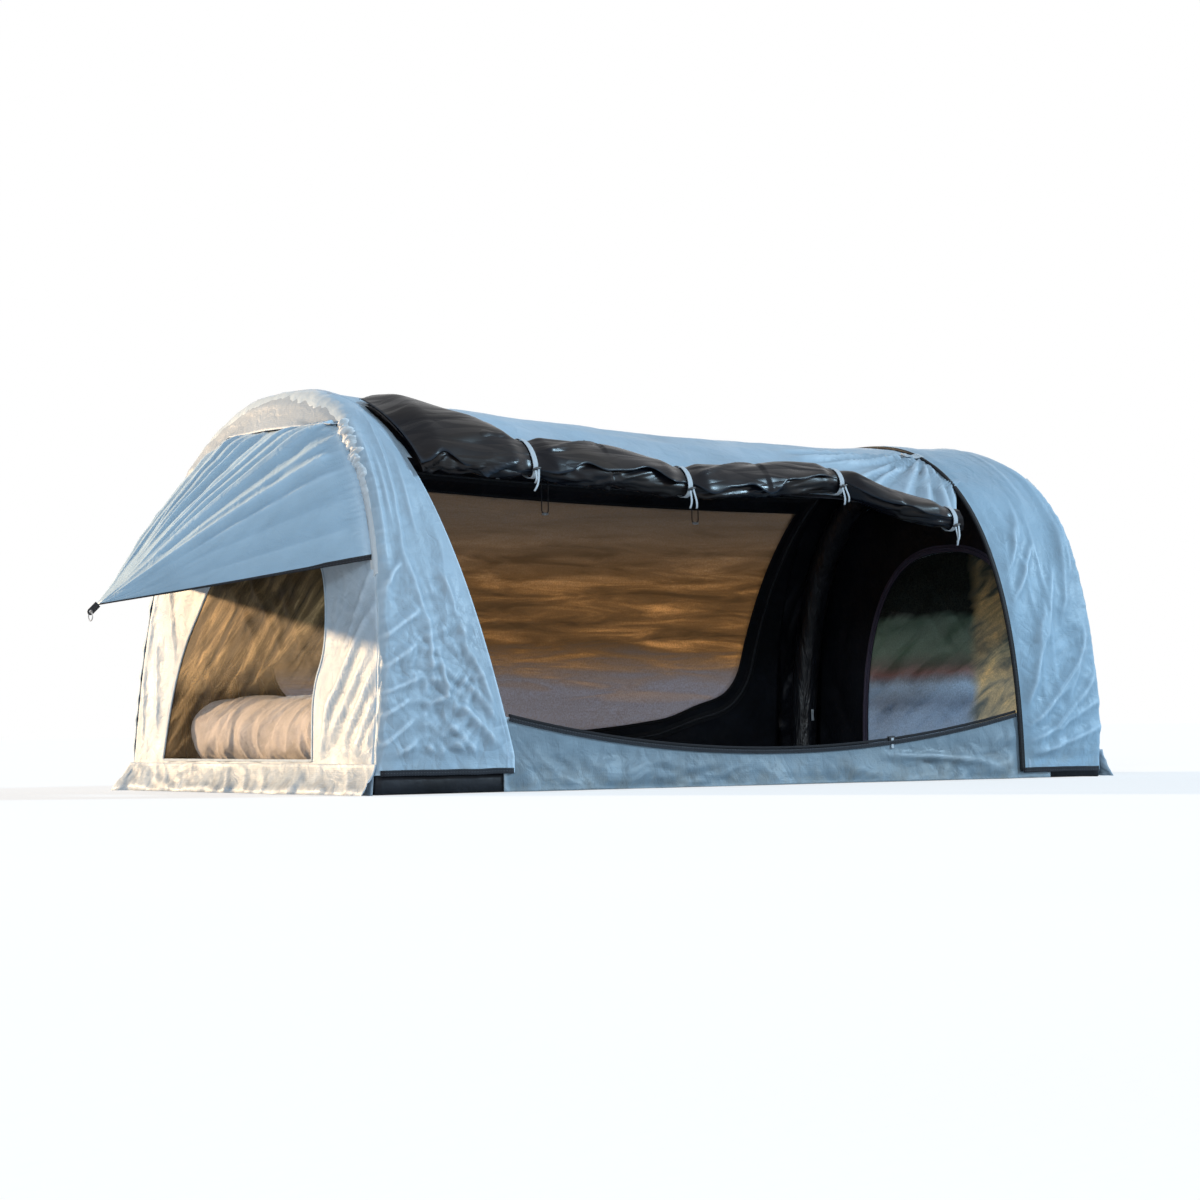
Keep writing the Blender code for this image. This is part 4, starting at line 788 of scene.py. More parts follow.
# Folds of the covers: distances in from the end wall and heights, crest width and height
HEAD_COVER_FOLDS = [
    (-0.03, 0.425, 0.065, 0.535, 0.011, 0.014), (-0.03, 0.335, 0.105, 0.415, 0.011, 0.014),
    (-0.03, 0.262, 0.110, 0.350, 0.011, 0.013), (-0.03, 0.215, 0.115, 0.268, 0.010, 0.012),
    (-0.03, 0.160, 0.085, 0.222, 0.009, 0.011), (-0.02, 0.098, 0.100, 0.180, 0.010, 0.012),
    (0.00, 0.060, 0.115, 0.138, 0.010, 0.010), (0.15, 0.190, 0.275, 0.070, 0.012, 0.013),
    (0.18, 0.225, 0.335, 0.085, 0.012, 0.015), (0.21, 0.265, 0.315, 0.150, 0.011, 0.012),
    (0.14, 0.540, 0.235, 0.300, 0.010, 0.009), (0.21, 0.350, 0.315, 0.165, 0.010, 0.012),
    (0.055, 0.57, 0.120, 0.360, 0.012, 0.009), (0.115, 0.430, 0.130, 0.235, 0.010, 0.010),
    (0.14, 0.350, 0.175, 0.190, 0.009, 0.009), (0.10, 0.205, 0.205, 0.225, 0.010, 0.008),
    (0.19, 0.130, 0.240, 0.075, 0.008, 0.008), (0.12, 0.120, 0.170, 0.070, 0.008, 0.008),
    (0.030, 0.900, 0.050, 0.560, 0.009, 0.008), (0.075, 0.900, 0.110, 0.540, 0.010, 0.008)]
FOOT_COVER_FOLDS = [
    (0.31, 0.035, -0.04, 0.150, 0.014, 0.017), (0.30, 0.070, -0.04, 0.225, 0.013, 0.015),
    (0.27, 0.110, 0.060, 0.300, 0.014, 0.018), (0.26, 0.150, 0.150, 0.500, 0.016, 0.020),
    (0.17, 0.110, -0.01, 0.290, 0.015, 0.015), (0.13, 0.170, 0.015, 0.420, 0.016, 0.016),
    (0.27, 0.440, 0.130, 0.620, 0.010, 0.013), (0.26, 0.520, 0.160, 0.680, 0.010, 0.012),
    (0.11, 0.360, 0.035, 0.700, 0.017, 0.014), (0.22, 0.560, 0.100, 0.820, 0.014, 0.012),
    (0.20, 0.300, 0.090, 0.580, 0.013, 0.012), (0.06, 0.480, 0.010, 0.720, 0.012, 0.010)]


def corner_radius(end, z):
    """The rounding of the arch's outer corner: small at the sides and large over the top."""
    return 0.012 + 0.056 * ease(z * HEAD_RIDGE / end.ridge, 0.76, 0.94)


def cover(end):
    """The cover over an arch, from the end wall's corner to its inner edge, densest up its near side."""
    steps, near_steps = 1201, 420
    angles, run = even_angles(steps, end.ridge, end.hem)
    rows = np.concatenate([np.arange(0, near_steps, 2), np.arange(near_steps, steps, 5)])
    angles, run = angles[rows], run[rows]
    outer_z = arch(angles, end.ridge)[1]
    radius = corner_radius(end, outer_z)[:, None]
    front, back = end.wall(outer_z)[:, None], end.edge_round(outer_z, angles)[:, None]
    depth = np.abs(back - front)
    turn = np.linspace(0, math.pi / 2, 7)[None]
    share = np.linspace(0, 1, 64)[None, 1:]
    inset = np.concatenate([radius * (1 - np.sin(turn)), 0 * share + 0 * radius], 1)
    place = np.concatenate([radius * (1 - np.cos(turn)), radius + (depth - radius) * share], 1)
    y, z = arch(angles[:, None], end.ridge, inset)
    points = np.stack([front - end.sign * place, y, z], -1)
    p, q = place, np.broadcast_to(run[:, None], place.shape)
    lower = 1 - ease(z, 0.34, 0.60)
    middle = np.sin(math.pi * np.clip(p / depth, 0, 1)) ** 0.6
    lift = 0.004 + 0.0075 * crumple(p, q, 0.15, 3 + end.sign) * (0.3 + 0.7 * lower) * middle
    small = (0.0070 if end.sign < 0 else 0.0025) * crumple(p, q, 0.07, 5 + end.sign)
    lift += small * (0.15 + 0.85 * lower) * middle
    lift += 0.0052 * ridges(p / 0.050, q / 0.55, 7 + end.sign) * (1 - 0.6 * lower)
    drawn = folds(p, z, HEAD_COVER_FOLDS if end.sign < 0 else FOOT_COVER_FOLDS)
    lift += drawn * (1 - ease(z, 0.70 * end.ridge, 0.86 * end.ridge))
    seam = 0.0040 * noise(p / 0.05, q / 0.011, 2) * np.exp(-p / 0.020)
    lift += seam * ease(p, 0.0, 0.006)
    hem = ease(z, end.hem + 0.030, end.hem + 0.060)
    lift *= ease(depth - p, 0.004, 0.040) * (0.12 + 0.88 * hem) * (0.25 + 0.75 * ease(p, 0.0, 0.014))
    lift = np.clip(lift, -0.0020, 0.024)
    if end.sign > 0:
        points, lift = points[:, ::-1], lift[:, ::-1]
    trims = cover_trims(end, angles)
    return cloth(end.name + "_cover_cloth", points, lift, (SILVER if end.sign < 0 else CREASED, LINING),
                 node=end.name + "_cover")


def cover_trims(end, angles):
    """The dark hem along the foot of the cover, and the seam along its inner edge."""
    trims = []
    count = 24
    for side, label in SIDES.items():
        z = np.full(count, end.hem + 0.004)
        back = float(end.edge_round(end.hem, 0.0 if side < 0 else math.pi))
        x = np.linspace(float(end.wall(end.hem)) - end.sign * 0.010, back + end.sign * 0.004, count)
        y = side * (WIDTH / 2 + 0.0012) + 0 * x
        line = np.stack([x, y, z + 0.0012 * noise(x / 0.05, 0.0, 5)], -1)
        trims.append(sweep(f"{end.name}_cover_hem_{label}", line, (0, 0, 1), flat_section(0.013, 0.0022),
                           DARK_HEM))
    y, z = arch(angles, end.ridge, -0.0006)
    inset = 0.017 if end.sign < 0 else 0.026
    line = np.stack([end.edge_round(z, angles) + end.sign * inset, y, z], -1)
    trims.append(sweep(f"{end.name}_cover_seam", line, (1, 0, 0), flat_section(0.009, 0.0009), SILVER_HEM))
    return trims


def foot_piping():
    """The black piping that edges the foot cover, with a narrow tape behind it."""
    angles, _ = even_angles(200, FOOT.ridge, FOOT.hem)
    y, z = arch(angles, FOOT.ridge, -0.002)
    line = np.stack([FOOT.edge_round(z, angles) - 0.0036, y, z], -1)
    cord = sweep("foot_piping", line, (1, 0, 0), round_section(0.0042, 10), PIPING)
    line = np.stack([FOOT.edge_round(z, angles) + 0.004, *arch(angles, FOOT.ridge, -0.0004)], -1)
    tape = sweep("foot_piping_tape", line, (1, 0, 0), flat_section(0.012, 0.0016), PIPING)
    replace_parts(cord, "foot_edge_piping")
    return [cord, tape]


# End walls, windows and flaps

# The head window's edge as it hangs, from its near lower corner over the top: sideways and up from the ground
HEAD_WINDOW = [(-0.305, WINDOW_LOW), (-0.298, 0.140), (-0.292, 0.205), (-0.300, 0.262), (-0.322, 0.315),
               (-0.328, 0.370), (-0.318, 0.450), (-0.290, 0.520), (-0.220, 0.580), (-0.100, 0.605),
               (0.040, 0.600), (0.160, 0.565), (0.235, 0.510), (0.290, 0.440), (0.345, 0.365), (0.385, 0.280),
               (0.410, 0.190), (0.428, WINDOW_LOW)]


def window_outline(end, grow, count=400):
    """The window's edge (y, z) as dense points, and its two lower corners."""
    if end.sign < 0:
        arc = smooth_line(HEAD_WINDOW, count)
        side = np.gradient(arc, axis=0)
        side = np.stack([-side[:, 1], side[:, 0]], -1) / np.linalg.norm(side, axis=1, keepdims=True)
        arc = arc + side * grow
        arc[[0, -1], 1] = WINDOW_LOW - grow
    else:
        share = 2 / ARCH_POWER
        turn = np.linspace(0, math.pi, count)
        y = -(WINDOW_HALF + grow) * np.sign(np.cos(turn)) * np.abs(np.cos(turn)) ** share
        z = WINDOW_LOW - grow + (WINDOW_HEIGHT + 2 * grow) * np.sin(turn).clip(0) ** share
        arc = np.stack([y, z], -1)
    base = np.linspace(arc[-1], arc[0], 200)[1:-1]
    return np.concatenate([arc, base]), np.stack([arc[0], arc[-1]])


def smooth_line(points, count):
    """A smooth curve through a few chosen points."""
    points = np.asarray(points, float)
    padded = np.concatenate([2 * points[:1] - points[1:2], points, 2 * points[-1:] - points[-2:-1]])
    where = np.linspace(0, len(points) - 1, count)
    i = np.minimum(where.astype(int), len(points) - 2)
    t = (where - i)[:, None]
    a, b, c, d = (padded[i + k] for k in range(4))
    square, cube = 2 * a - 5 * b + 4 * c - d, 3 * b - a - 3 * c + d
    return 0.5 * (2 * b + (c - a) * t + square * t ** 2 + cube * t ** 3)


def wall_outline(end):
    """The end wall's edge (y, z), inside the cover's rounded corner, and its two lower corners."""
    turn = np.linspace(0, math.pi, 1600)
    inset = corner_radius(end, arch(turn, end.ridge)[1]) + 0.0012
    arc = np.stack(arch(turn, end.ridge, inset), -1)
    base = np.linspace(arc[-1], arc[0], 500)[1:-1]
    return np.concatenate([arc, base]), np.stack([arc[0], arc[-1]])


def polar(points, centre):
    """The direction of each point from the centre."""
    shift = points - centre
    return np.arctan2(shift[:, 1], shift[:, 0])


def star(outline, centre, turns):
    """Where rays from the centre meet an outline."""
    angle, reach = polar(outline, centre), np.linalg.norm(outline - centre, axis=1)
    order = np.argsort(angle)
    angle, reach = angle[order], reach[order]
    angle = np.concatenate([angle[-1:] - 2 * math.pi, angle, angle[:1] + 2 * math.pi])
    reach = np.concatenate([reach[-1:], reach, reach[:1]])
    found = np.interp(turns, angle, reach)
    return centre + found[:, None] * np.stack([np.cos(turns), np.sin(turns)], -1)


def ray_turns(count, centre, *corners):
    """Even directions, with the nearest one moved onto each corner."""
    turns = np.linspace(-math.pi, math.pi, count, endpoint=False)
    for corner in np.concatenate(corners):
        want = math.atan2(corner[1] - centre[1], corner[0] - centre[0])
        turns[np.argmin(np.abs(turns - want))] = want
    return np.sort(turns)


def between(inner, outer, rows):
    """Rows of points from an inner outline to an outer one."""
    share = np.linspace(0, 1, rows)[:, None, None]
    return inner[None] * (1 - share) + outer[None] * share


# Folds of the end walls: places (y, z), crest width and height
HEAD_WALL_FOLDS = [
    (-0.375, 0.10, -0.545, 0.345, 0.012, 0.011), (-0.335, 0.15, -0.575, 0.46, 0.012, 0.013),
    (-0.430, 0.09, -0.580, 0.30, 0.010, 0.012), (-0.485, 0.08, -0.590, 0.235, 0.010, 0.011),
    (-0.530, 0.07, -0.592, 0.170, 0.009, 0.009), (-0.375, 0.26, -0.570, 0.56, 0.011, 0.008),
    (-0.345, 0.075, -0.390, 0.25, 0.010, 0.010), (-0.560, 0.05, -0.595, 0.12, 0.008, 0.007),
    (0.470, 0.10, 0.500, 0.42, 0.008, 0.007), (0.400, 0.30, 0.470, 0.56, 0.007, 0.006),
    (0.545, 0.08, 0.565, 0.36, 0.008, 0.006), (0.430, 0.10, 0.395, 0.30, 0.007, 0.005),
    (0.555, 0.30, 0.520, 0.56, 0.007, 0.005), (-0.2, 0.055, 0.1, 0.06, 0.006, 0.004)]
FOOT_WALL_FOLDS = [
    (-0.40, 0.10, -0.54, 0.36, 0.012, 0.009), (-0.46, 0.08, -0.58, 0.26, 0.010, 0.008),
    (0.41, 0.10, 0.55, 0.34, 0.012, 0.009), (0.47, 0.30, 0.42, 0.52, 0.010, 0.007),
    (0.52, 0.07, 0.58, 0.22, 0.009, 0.008), (-0.40, 0.30, -0.50, 0.50, 0.009, 0.006)]


def end_wall(end):
    """The wall round the window, its window mesh, and the zip round that."""
    centre = np.array((0.0, 0.33))
    count, rows = (380, 34) if end.sign < 0 else (260, 20)
    hole, hole_corners = window_outline(end, 0.0)
    edge, edge_corners = wall_outline(end)
    turns = ray_turns(count, centre, hole_corners, edge_corners)
    flat = between(star(hole, centre, turns), star(edge, centre, turns), rows)
    y, z = flat[..., 0], flat[..., 1]
    points = np.stack([end.wall(z), y, z], -1)
    lift = folds(y, z, HEAD_WALL_FOLDS if end.sign < 0 else FOOT_WALL_FOLDS)
    lift += 0.0022 * crumple(y, z, 0.09, 8 + end.sign) + 0.0012 * noise(y / 0.02, z / 0.05, 4)
    share = np.linspace(0, 1, rows)[:, None]
    shaded = 1 - 0.85 * ease(z, end.stop - 0.03, end.stop + 0.04)
    lift = np.clip(lift, -0.002, 0.013) * ease(share, 0.0, 0.12) * ease(1 - share, 0.0, 0.06) * shaded
    wall = cloth(end.name + "_wall_cloth", points, lift, (WALL, LINING), node=end.name + "_end_wall",
                 flat=(WIDTH, end.ridge), wrap=True)
    binding(end)
    pane(end, centre)
    return wall


def on_wall(end, outline, depth):
    """The places of an outline (y, z) on the end wall, moved inwards by depth."""
    z = outline[:, 1]
    return np.stack([end.wall(z) - end.sign * depth, outline[:, 0], z], -1)


def binding(end):
    """The narrow sewn binding round the window outside, and the zip round it inside."""
    points = closed(window_outline(end, 0.0035)[0], 260)
    sweep(end.name + "_window_binding", on_wall(end, points, -0.0010), (end.sign, 0, 0),
          flat_section(0.0016, 0.006), SILVER_HEM if end.sign < 0 else GREY_PIPING, loop=True)
    points = closed(window_outline(end, 0.012)[0], 260)
    sweep(end.name + "_window_coil", on_wall(end, points, 0.0062), (end.sign, 0, 0),
          round_section(0.0036, 8), WINDOW_ZIP, node=end.name + "_window_zip", loop=True)
    sweep(end.name + "_window_tape", on_wall(end, points, 0.0034), (end.sign, 0, 0),
          flat_section(0.0012, 0.020), WINDOW_ZIP, loop=True)


def pane(end, centre):
    """The window's own mesh, slack in its frame."""
    hole, corners = window_outline(end, -0.0004)
    turns = ray_turns(150, centre, corners)
    rim = star(hole, centre, turns)
    share = np.linspace(0, 1, 44)[:, None, None]
    flat = centre + (rim[None] - centre) * share
    y, z = flat[..., 0], flat[..., 1]
    points = np.stack([end.wall(z) - end.sign * 0.0015, y, z], -1)
    lift = 0.004 * crumple(y, z, 0.13, 21 + end.sign) + 0.004 * ridges((y - z) / 0.10, (y + z) / 0.4, 6)
    lift = lift * ease(1 - share[..., 0], 0.0, 0.10)
    material = HEAD_MESH if end.sign < 0 else FOOT_MESH
    return cloth(end.name + "_window_net", points, lift, (material, material),
                 node=end.name + "_window_mesh", flat=WINDOW_FLAT, wrap=True,
                 thickness=NET)


def cap_flap(end):
    """The flap over the top of the awning, that rolls back over the arch's corner and down its far side."""
    columns, rows = 190, 26
    near_end = angle_at_height(end.flap - 0.012, end.ridge)
    far_end = math.pi - angle_at_height(end.flap - 0.230, end.ridge)
    turn = np.linspace(near_end, far_end, columns)
    radius = corner_radius(end, arch(turn, end.ridge)[1])
    y, z = arch(turn, end.ridge, radius)
    band = 0.078 - 0.050 * ease(turn, math.pi - near_end, far_end)
    y_band, z_band = arch(turn, end.ridge, np.maximum(band, 0.004))
    across = np.linspace(-1, 1, columns)
    z_low = end.flap + 0.0030 * noise(y / 0.12, 0.0, 3) - 0.008 - 0.006 * ease(-across, 0.86, 1.0)
    down_side = (turn > math.pi / 2) & (z_band < z_low)
    y_low, z_low = np.where(down_side, y_band, y), np.where(down_side, z_band, z_low)
    lines = [np.stack([0.0195 + 0 * y, y_low, z_low], -1)]
    lift_up = np.where(down_side, -9.0, z_low + 0.001)
    lines.append(np.stack([0.0080 + 0 * y, y, np.maximum(z, lift_up)], -1))
    for bend in np.radians((14.0, 28.0, 42.0, 56.0, 70.0, 82.0)):
        y, z = arch(turn, end.ridge, radius - (radius + 0.0036) * math.sin(bend))
        out = (radius + 0.0036) * math.cos(bend) - radius
        lines.append(np.stack([out, y, np.maximum(z, lift_up)], -1))
    lines = np.stack(lines)
    points = np.stack([spaced(lines[:, k], rows) for k in range(columns)], 1)
    out, y, z = points[..., 0], points[..., 1], points[..., 2]
    points = np.stack([end.wall(z) + end.sign * out, y, z], -1)
    share = np.linspace(0, 1, rows)[:, None]
    lift = 0.0022 * ridges((y + 0.6 * z) / 0.20, z / 0.06, 12 + end.sign)
    lift = lift + 0.0008 * crumple(y, z * 1.5, 0.16, 4)
    lift = lift * ease(1 - share, 0.0, 0.2) * (0.3 + 0.7 * ease(share, 0.0, 0.2))
    return cloth(end.name + "_flap_cloth", points, np.clip(lift, -0.001, 0.01), (FLAP, LINING),
                 node=end.name + "_cap_flap")


# Awnings


def awning_root(end, count):
    """The line along which the awning is sewn to the wall, from its near lower corner over the top."""
    top = end.flap - FLAP_SEAM
    low = angle_at_height(end.stop, end.ridge)
    turn = np.linspace(low, math.pi - low, 900)
    y, z = arch(turn, end.ridge)
    far_top = ease(z, end.stop, end.stop + 0.15) * (y > 0)
    y, z = arch(turn, end.ridge, 0.020 + 0.062 * far_top)
    keep = z >= end.stop
    z = np.minimum(z, top)
    line = np.stack([end.wall(z) + end.sign * AWNING_DEPTH, y, z], -1)[keep]
    return spaced(line, count)


def pleats(across, share, seed):
    """Tension folds that leave the sewn edge and run towards the tip, of unlike width and length."""
    rng = np.random.default_rng(seed)
    total = np.zeros(np.broadcast(across, share).shape)
    place = 0.06
    while place < 0.94:
        middle = 1 - abs(2 * place - 1)
        width = rng.uniform(0.0085, 0.0165)
        height = rng.uniform(0.45, 1.0) * (0.35 + 0.65 * ease(middle, 0.12, 0.50))
        reach = rng.uniform(0.75, 1.10)
        drift = rng.uniform(-0.014, 0.014)
        off = (across - place - drift * share) / width
        fade = ease(share, -0.02, 0.05) * (1 - ease(share, reach - 0.35, reach))
        total += height * fade * np.exp(0.45 - np.sqrt(0.2025 + off ** 2))
        place += rng.uniform(0.024, 0.062) * (1.30 - 0.35 * middle)
    return total


def awning(end):
    """The pleated awning, from its sewn edge to its tip, with a hem along each free side."""
    columns, rows = 300, 50
    root = awning_root(end, columns)
    share = (np.linspace(0, 1, rows) ** 0.9)[:, None]
    across = np.linspace(0, 1, columns)[None]
    goal = end.tip()[None] + np.outer((across[0] - 0.5) * 0.024, (0, 1, 0))
    points = root[None] * (1 - share[..., None]) + goal[None] * share[..., None]
    middle = 1 - np.abs(2 * across - 1)
    lift = 0.0290 * pleats(across, share, 40 + end.sign) * (1 - share) ** 0.80
    lift = lift * ease(share, -0.02, 0.13) ** 0.8
    gather = noise(across / 0.0042, share / 0.05, 9) * np.exp(-share / 0.05)
    lift = lift + 0.0035 * gather * ease(middle, 0.05, 0.2)
    lift += 0.010 * np.sin(math.pi * share) * np.sin(math.pi * across) ** 0.7 * ease(middle, 0.0, 0.4)
    lift += 0.0016 * crumple(root[None, :, 1] * (1 - share), root[None, :, 2] + share * 0.4, 0.12, 2)
    lift *= ease(across, 0.0, 0.03) * ease(1 - across, 0.0, 0.03) * ease(share, -0.04, 0.03)
    body = end.swing()
    centre = np.array((end.wall(0.3) - end.sign * 0.05, 0.0, 0.25))
    normals, _ = surface_normals(points, centre, False)
    for column, label in ((0, "near"), (-1, "far")):
        line = spaced(points[:, column] - normals[:, column] * 0.0004, 60)
        inward = points[:, 1 if column == 0 else -2] - points[:, column]
        inward = spaced(inward / np.maximum(np.linalg.norm(inward, axis=-1, keepdims=True), 1e-9), 60)
        line = line + inward * 0.004
        sweep(f"{end.name}_awning_hem_{label}", line, inward, flat_section(0.013, 0.0030),
                           DARK_HEM, body=body)
    return cloth(end.name + "_awning_cloth", points, lift, (SILVER_SMOOTH, LINING), body=body,
                 node=end.name + "_awning",
                 centre=centre)


def ruffle(end):
    """The gathered strip round the near corner, between the awning's sewn edge and the cover."""
    count, steps = 300, 12
    low, high = angle_at_height(end.stop - 0.03, end.ridge), angle_at_height(end.flap - 0.004, end.ridge)
    turn = np.linspace(low, high, count)[:, None]
    along = np.linspace(0, 1, count)[:, None]
    section = spaced([(0.0034, 0.026), (0.0070, 0.020), (0.0090, 0.011), (0.0062, 0.002),
                      (-0.0005, -0.0022), (-0.0090, -0.0034), (-0.0200, -0.0004)], steps)
    step = np.arange(count)[:, None]
    spot = np.linspace(0, 1, steps)[None]
    pucker = noise(step / 8.5 + spot * 2.6, spot * 1.3, 30) + 0.35 * noise(step / 3.8, spot * 2.0, 7)
    fade = ease(along, 0.35, 0.75) * (1 - 0.5 * ease(along, 0.93, 1.0)) * (1.0 if end.sign < 0 else 0.12)
    size = 0.60 + 0.40 * fade + 0.55 * pucker * fade
    base = np.array((-0.004, 0.012))
    bulge = base + (section[None] - base) * np.where(np.abs(spot - 0.5) > 0.46, 1.0, size)[..., None]
    y, z = arch(turn, end.ridge, bulge[..., 1])
    points = np.stack([end.wall(z) + end.sign * bulge[..., 0], y, z], -1)
    return cloth(end.name + "_ruffle_near", points, 0 * y, (GATHERED, LINING),
                 thickness=0.0008)


def tip_tab(end):
    """The webbing tab at the awning's tip with its eye and an eyelet in it; the ring is the model's own part.
    """
    tip, hinge_z = end.tip(), end.flap - FLAP_SEAM
    hinge = np.array((end.wall(hinge_z) + end.sign * AWNING_DEPTH, 0.0, hinge_z))
    direction = (tip - hinge) / np.linalg.norm(tip - hinge)
    up = np.cross(direction, (0, 1, 0)) * -end.sign
    up = up * np.sign(up[2])
    start = tip + direction * 0.0003
    turns = np.linspace(-math.pi / 2, math.pi / 2, 17)
    outline = [(0.0, -TAB_HALF)]
    outline += [(TAB_REACH + TAB_HALF * math.cos(t), TAB_HALF * math.sin(t)) for t in turns]
    outline += [(0.0, TAB_HALF), (0.0, 0.004), (0.0, -0.004)]
    outline = closed(np.array(outline), 60)
    round_eye = polar(outline, (TAB_REACH, 0.0))
    eye = 0.0024 * np.stack([np.cos(round_eye), np.sin(round_eye)], -1) + (TAB_REACH, 0.0)
    rings = []
    for share, level in ((0.0, -0.9), (0.0, 0.9), (0.15, 1.2), (0.6, 1.1), (0.9, 1.2), (1.0, 0.7),
                         (1.0, -0.7), (0.9, -1.2), (0.6, -1.1), (0.15, -1.2)):
        flat = eye * (1 - share) + outline * share
        rings.append(start + flat[:, :1] * direction + flat[:, 1:] * up + np.array((0, level * 0.00105, 0)))
    obj = grid_mesh(end.name + "_tip_webbing", np.stack(rings), wrap=True, loop=True)
    face_outwards(obj)
    dress(obj, DARK_STRAP, end.name + "_awning", end.name + "_awning_tab")
    centre = start + direction * TAB_REACH
    turns = np.linspace(0, 2 * math.pi, 24, endpoint=False)[:, None]
    line = centre + 0.0036 * (np.cos(turns) * direction + np.sin(turns) * up)
    for side, label in SIDES.items():
        sweep(f"{end.name}_eyelet_{label}", line + (0, side * 0.0013, 0), (0, 1, 0),
              round_section(0.0007, 8), STEEL, body=end.name + "_awning", loop=True)


def skirt(end):
    """The mud flap along the foot of the end wall, rumpled where it lies on the ground."""
    across = np.linspace(0, 1, 200)[None]
    down = (1 - np.linspace(0, 1, 15) ** 0.8)[:, None]
    z = 0.0016 + (0.070 - 0.0016) * (1 - down)
    wave = 0.5 + 0.5 * noise(across * 16, 0.0, 14 + end.sign) + 0.25 * noise(across * 45, 0.0, 3)
    reach = 0.0040 + (0.024 + 0.022 * wave) * down ** 1.5
    y = (across - 0.5) * (WIDTH + 0.012 * down)
    points = np.stack(np.broadcast_arrays(end.wall(z) + end.sign * reach, y, z), -1)
    pucker = ridges(across * 26 + down * 1.5, down * 1.2, 6 + end.sign)
    lift = 0.0075 * pucker * (0.25 + 0.75 * down) + 0.0030 * crumple(across * 1.2, down * 0.07, 0.05, 5)
    lift = np.clip(lift * ease(1 - down, -0.02, 0.14), 0.0, 0.012)
    return cloth(end.name + "_skirt_cloth", points, lift, (WALL, WALL), node=end.name + "_skirt")


# Skin between the covers


def roof():
    """The roof between the covers, with a fan of folds at its near foot corner."""
    far = math.pi - FAR_ROOF_ANGLE
    rows, columns = 84, 170
    share_v = np.linspace(0, 1, rows)[:, None]
    share_u = (np.linspace(0, 1, columns) ** 0.72)[None]
    angle = NEAR_ROOF_ANGLE + (far - NEAR_ROOF_ANGLE) * share_v
    z = arch(angle, HEAD_RIDGE, SKIN)[1]
    start = HEAD.edge(z) - HEAD_LAP - at(0.0)
    open_corner = 1 - ease(np.degrees(angle), 60.0, 68.0)
    stop = FOOT.edge(arch(angle, FOOT_RIDGE, SKIN)[1]) + FOOT_LAP - at(0.0)
    stop += (1.813 + 0.0065 * (np.degrees(angle) - 48.5) - stop) * open_corner
    distance = start + (stop - start) * share_u
    low = near_roof_angle(distance)
    angle = low + (far - low) * share_v
    points = body_point(distance, angle)
    q = np.degrees(angle)
    lift = 0.0030 * ridges(distance / 0.55, q / 9.0, 3) + 0.0028 * crumple(distance, q * 0.016, 0.22, 7)
    lift += 0.006 * noise(distance / 0.30, q / 60.0, 2)
    spoke = np.arctan2((72.0 - q) * 0.014, 1.90 - distance)
    fan = np.abs((spoke * 5.5 + 0.4 * noise(spoke * 5.0, 0.0, 6)) % 1 - 0.5) * 2
    lift += 0.020 * (fan - 0.3) * ease(distance, 1.38, 1.50) * ease(76.0 - q, 0.0, 6.0)
    edge = np.degrees(low)
    covered = 1 - ease(q, edge + 6.0, edge + 8.5)
    covered = covered * ease(distance, 0.30, 0.54) * (1 - ease(distance, 1.5, 1.62))
    under_head = (1 - ease(q, 84.0, 88.0)) * (1 - ease(distance, 0.42, 0.56))
    quiet = 1 - np.maximum(covered, under_head)
    quiet *= ease(distance, start + 0.03, start + 0.10)
    quiet *= np.maximum(ease(stop - distance, 0.10, 0.19), open_corner * ease(stop - distance, 0.0, 0.03))
    quiet *= ease(share_v, 0.0, 0.02) * ease(1 - share_v, 0.0, 0.02)
    lift = np.clip(lift, -0.006, 0.016) * quiet
    near_line = points[0, 3:-2] + (0, -0.0006, 0)
    binding_near = sweep("roof_edge_near", near_line, arch_normal(np.full(len(near_line), 0.9)),
                         flat_section(0.0022, 0.012), DARK_HEM)
    return cloth("roof_cloth", points, lift, (SILVER, LINING), node="roof_panel")


def near_sill():
    """The low wall under the curved zip, loosely folded and heaped a little at its foot."""
    rows, columns = 22, 210
    share_v = np.linspace(0, 1, rows)[:, None]
    x = np.linspace(HEAD.edge(0.05) - 0.028, FOOT.edge(0.05) + 0.10, columns)[None]
    z = NEAR_GROUND + (sill(x) - NEAR_GROUND) * share_v
    points = side_skin(x, z, -1)
    lift = 0.0130 * ridges(x / 0.36, (z + 0.05 * x) / 0.042, 8) * np.sin(math.pi * share_v) ** 0.5
    heap = 0.016 * (1 - share_v) ** 2 * (0.6 + 0.5 * noise(x / 0.11, 0.0, 4))
    lift += 0.006 * crumple(x, z * 2, 0.16, 6) + heap
    inside = ease(x, HEAD.edge(0.05) - 0.005, HEAD.edge(0.05) + 0.05)
    inside = inside * ease(FOOT.edge(0.05) - x, 0.004, 0.05)
    lift = np.clip(lift, -0.002, 0.018) * inside * ease(sill(x) - z, 0.008, 0.060)
    return cloth("near_sill_cloth", points, lift, (SILL, LINING), node="near_sill_panel")


def eased(points, count, reach):
    """Points along a line with its kinks rounded over some steps each way, and its ends kept."""
    line = spaced(points, count)
    before, after = 2 * line[0] - line[reach:0:-1], 2 * line[-1] - line[-2:-reach - 2:-1]
    padded = np.concatenate([before, line, after])
    weights = np.hanning(2 * reach + 3)[1:-1]
    weights /= weights.sum()
    return np.stack([np.convolve(padded[:, axis], weights, "valid") for axis in (0, 1)], -1)


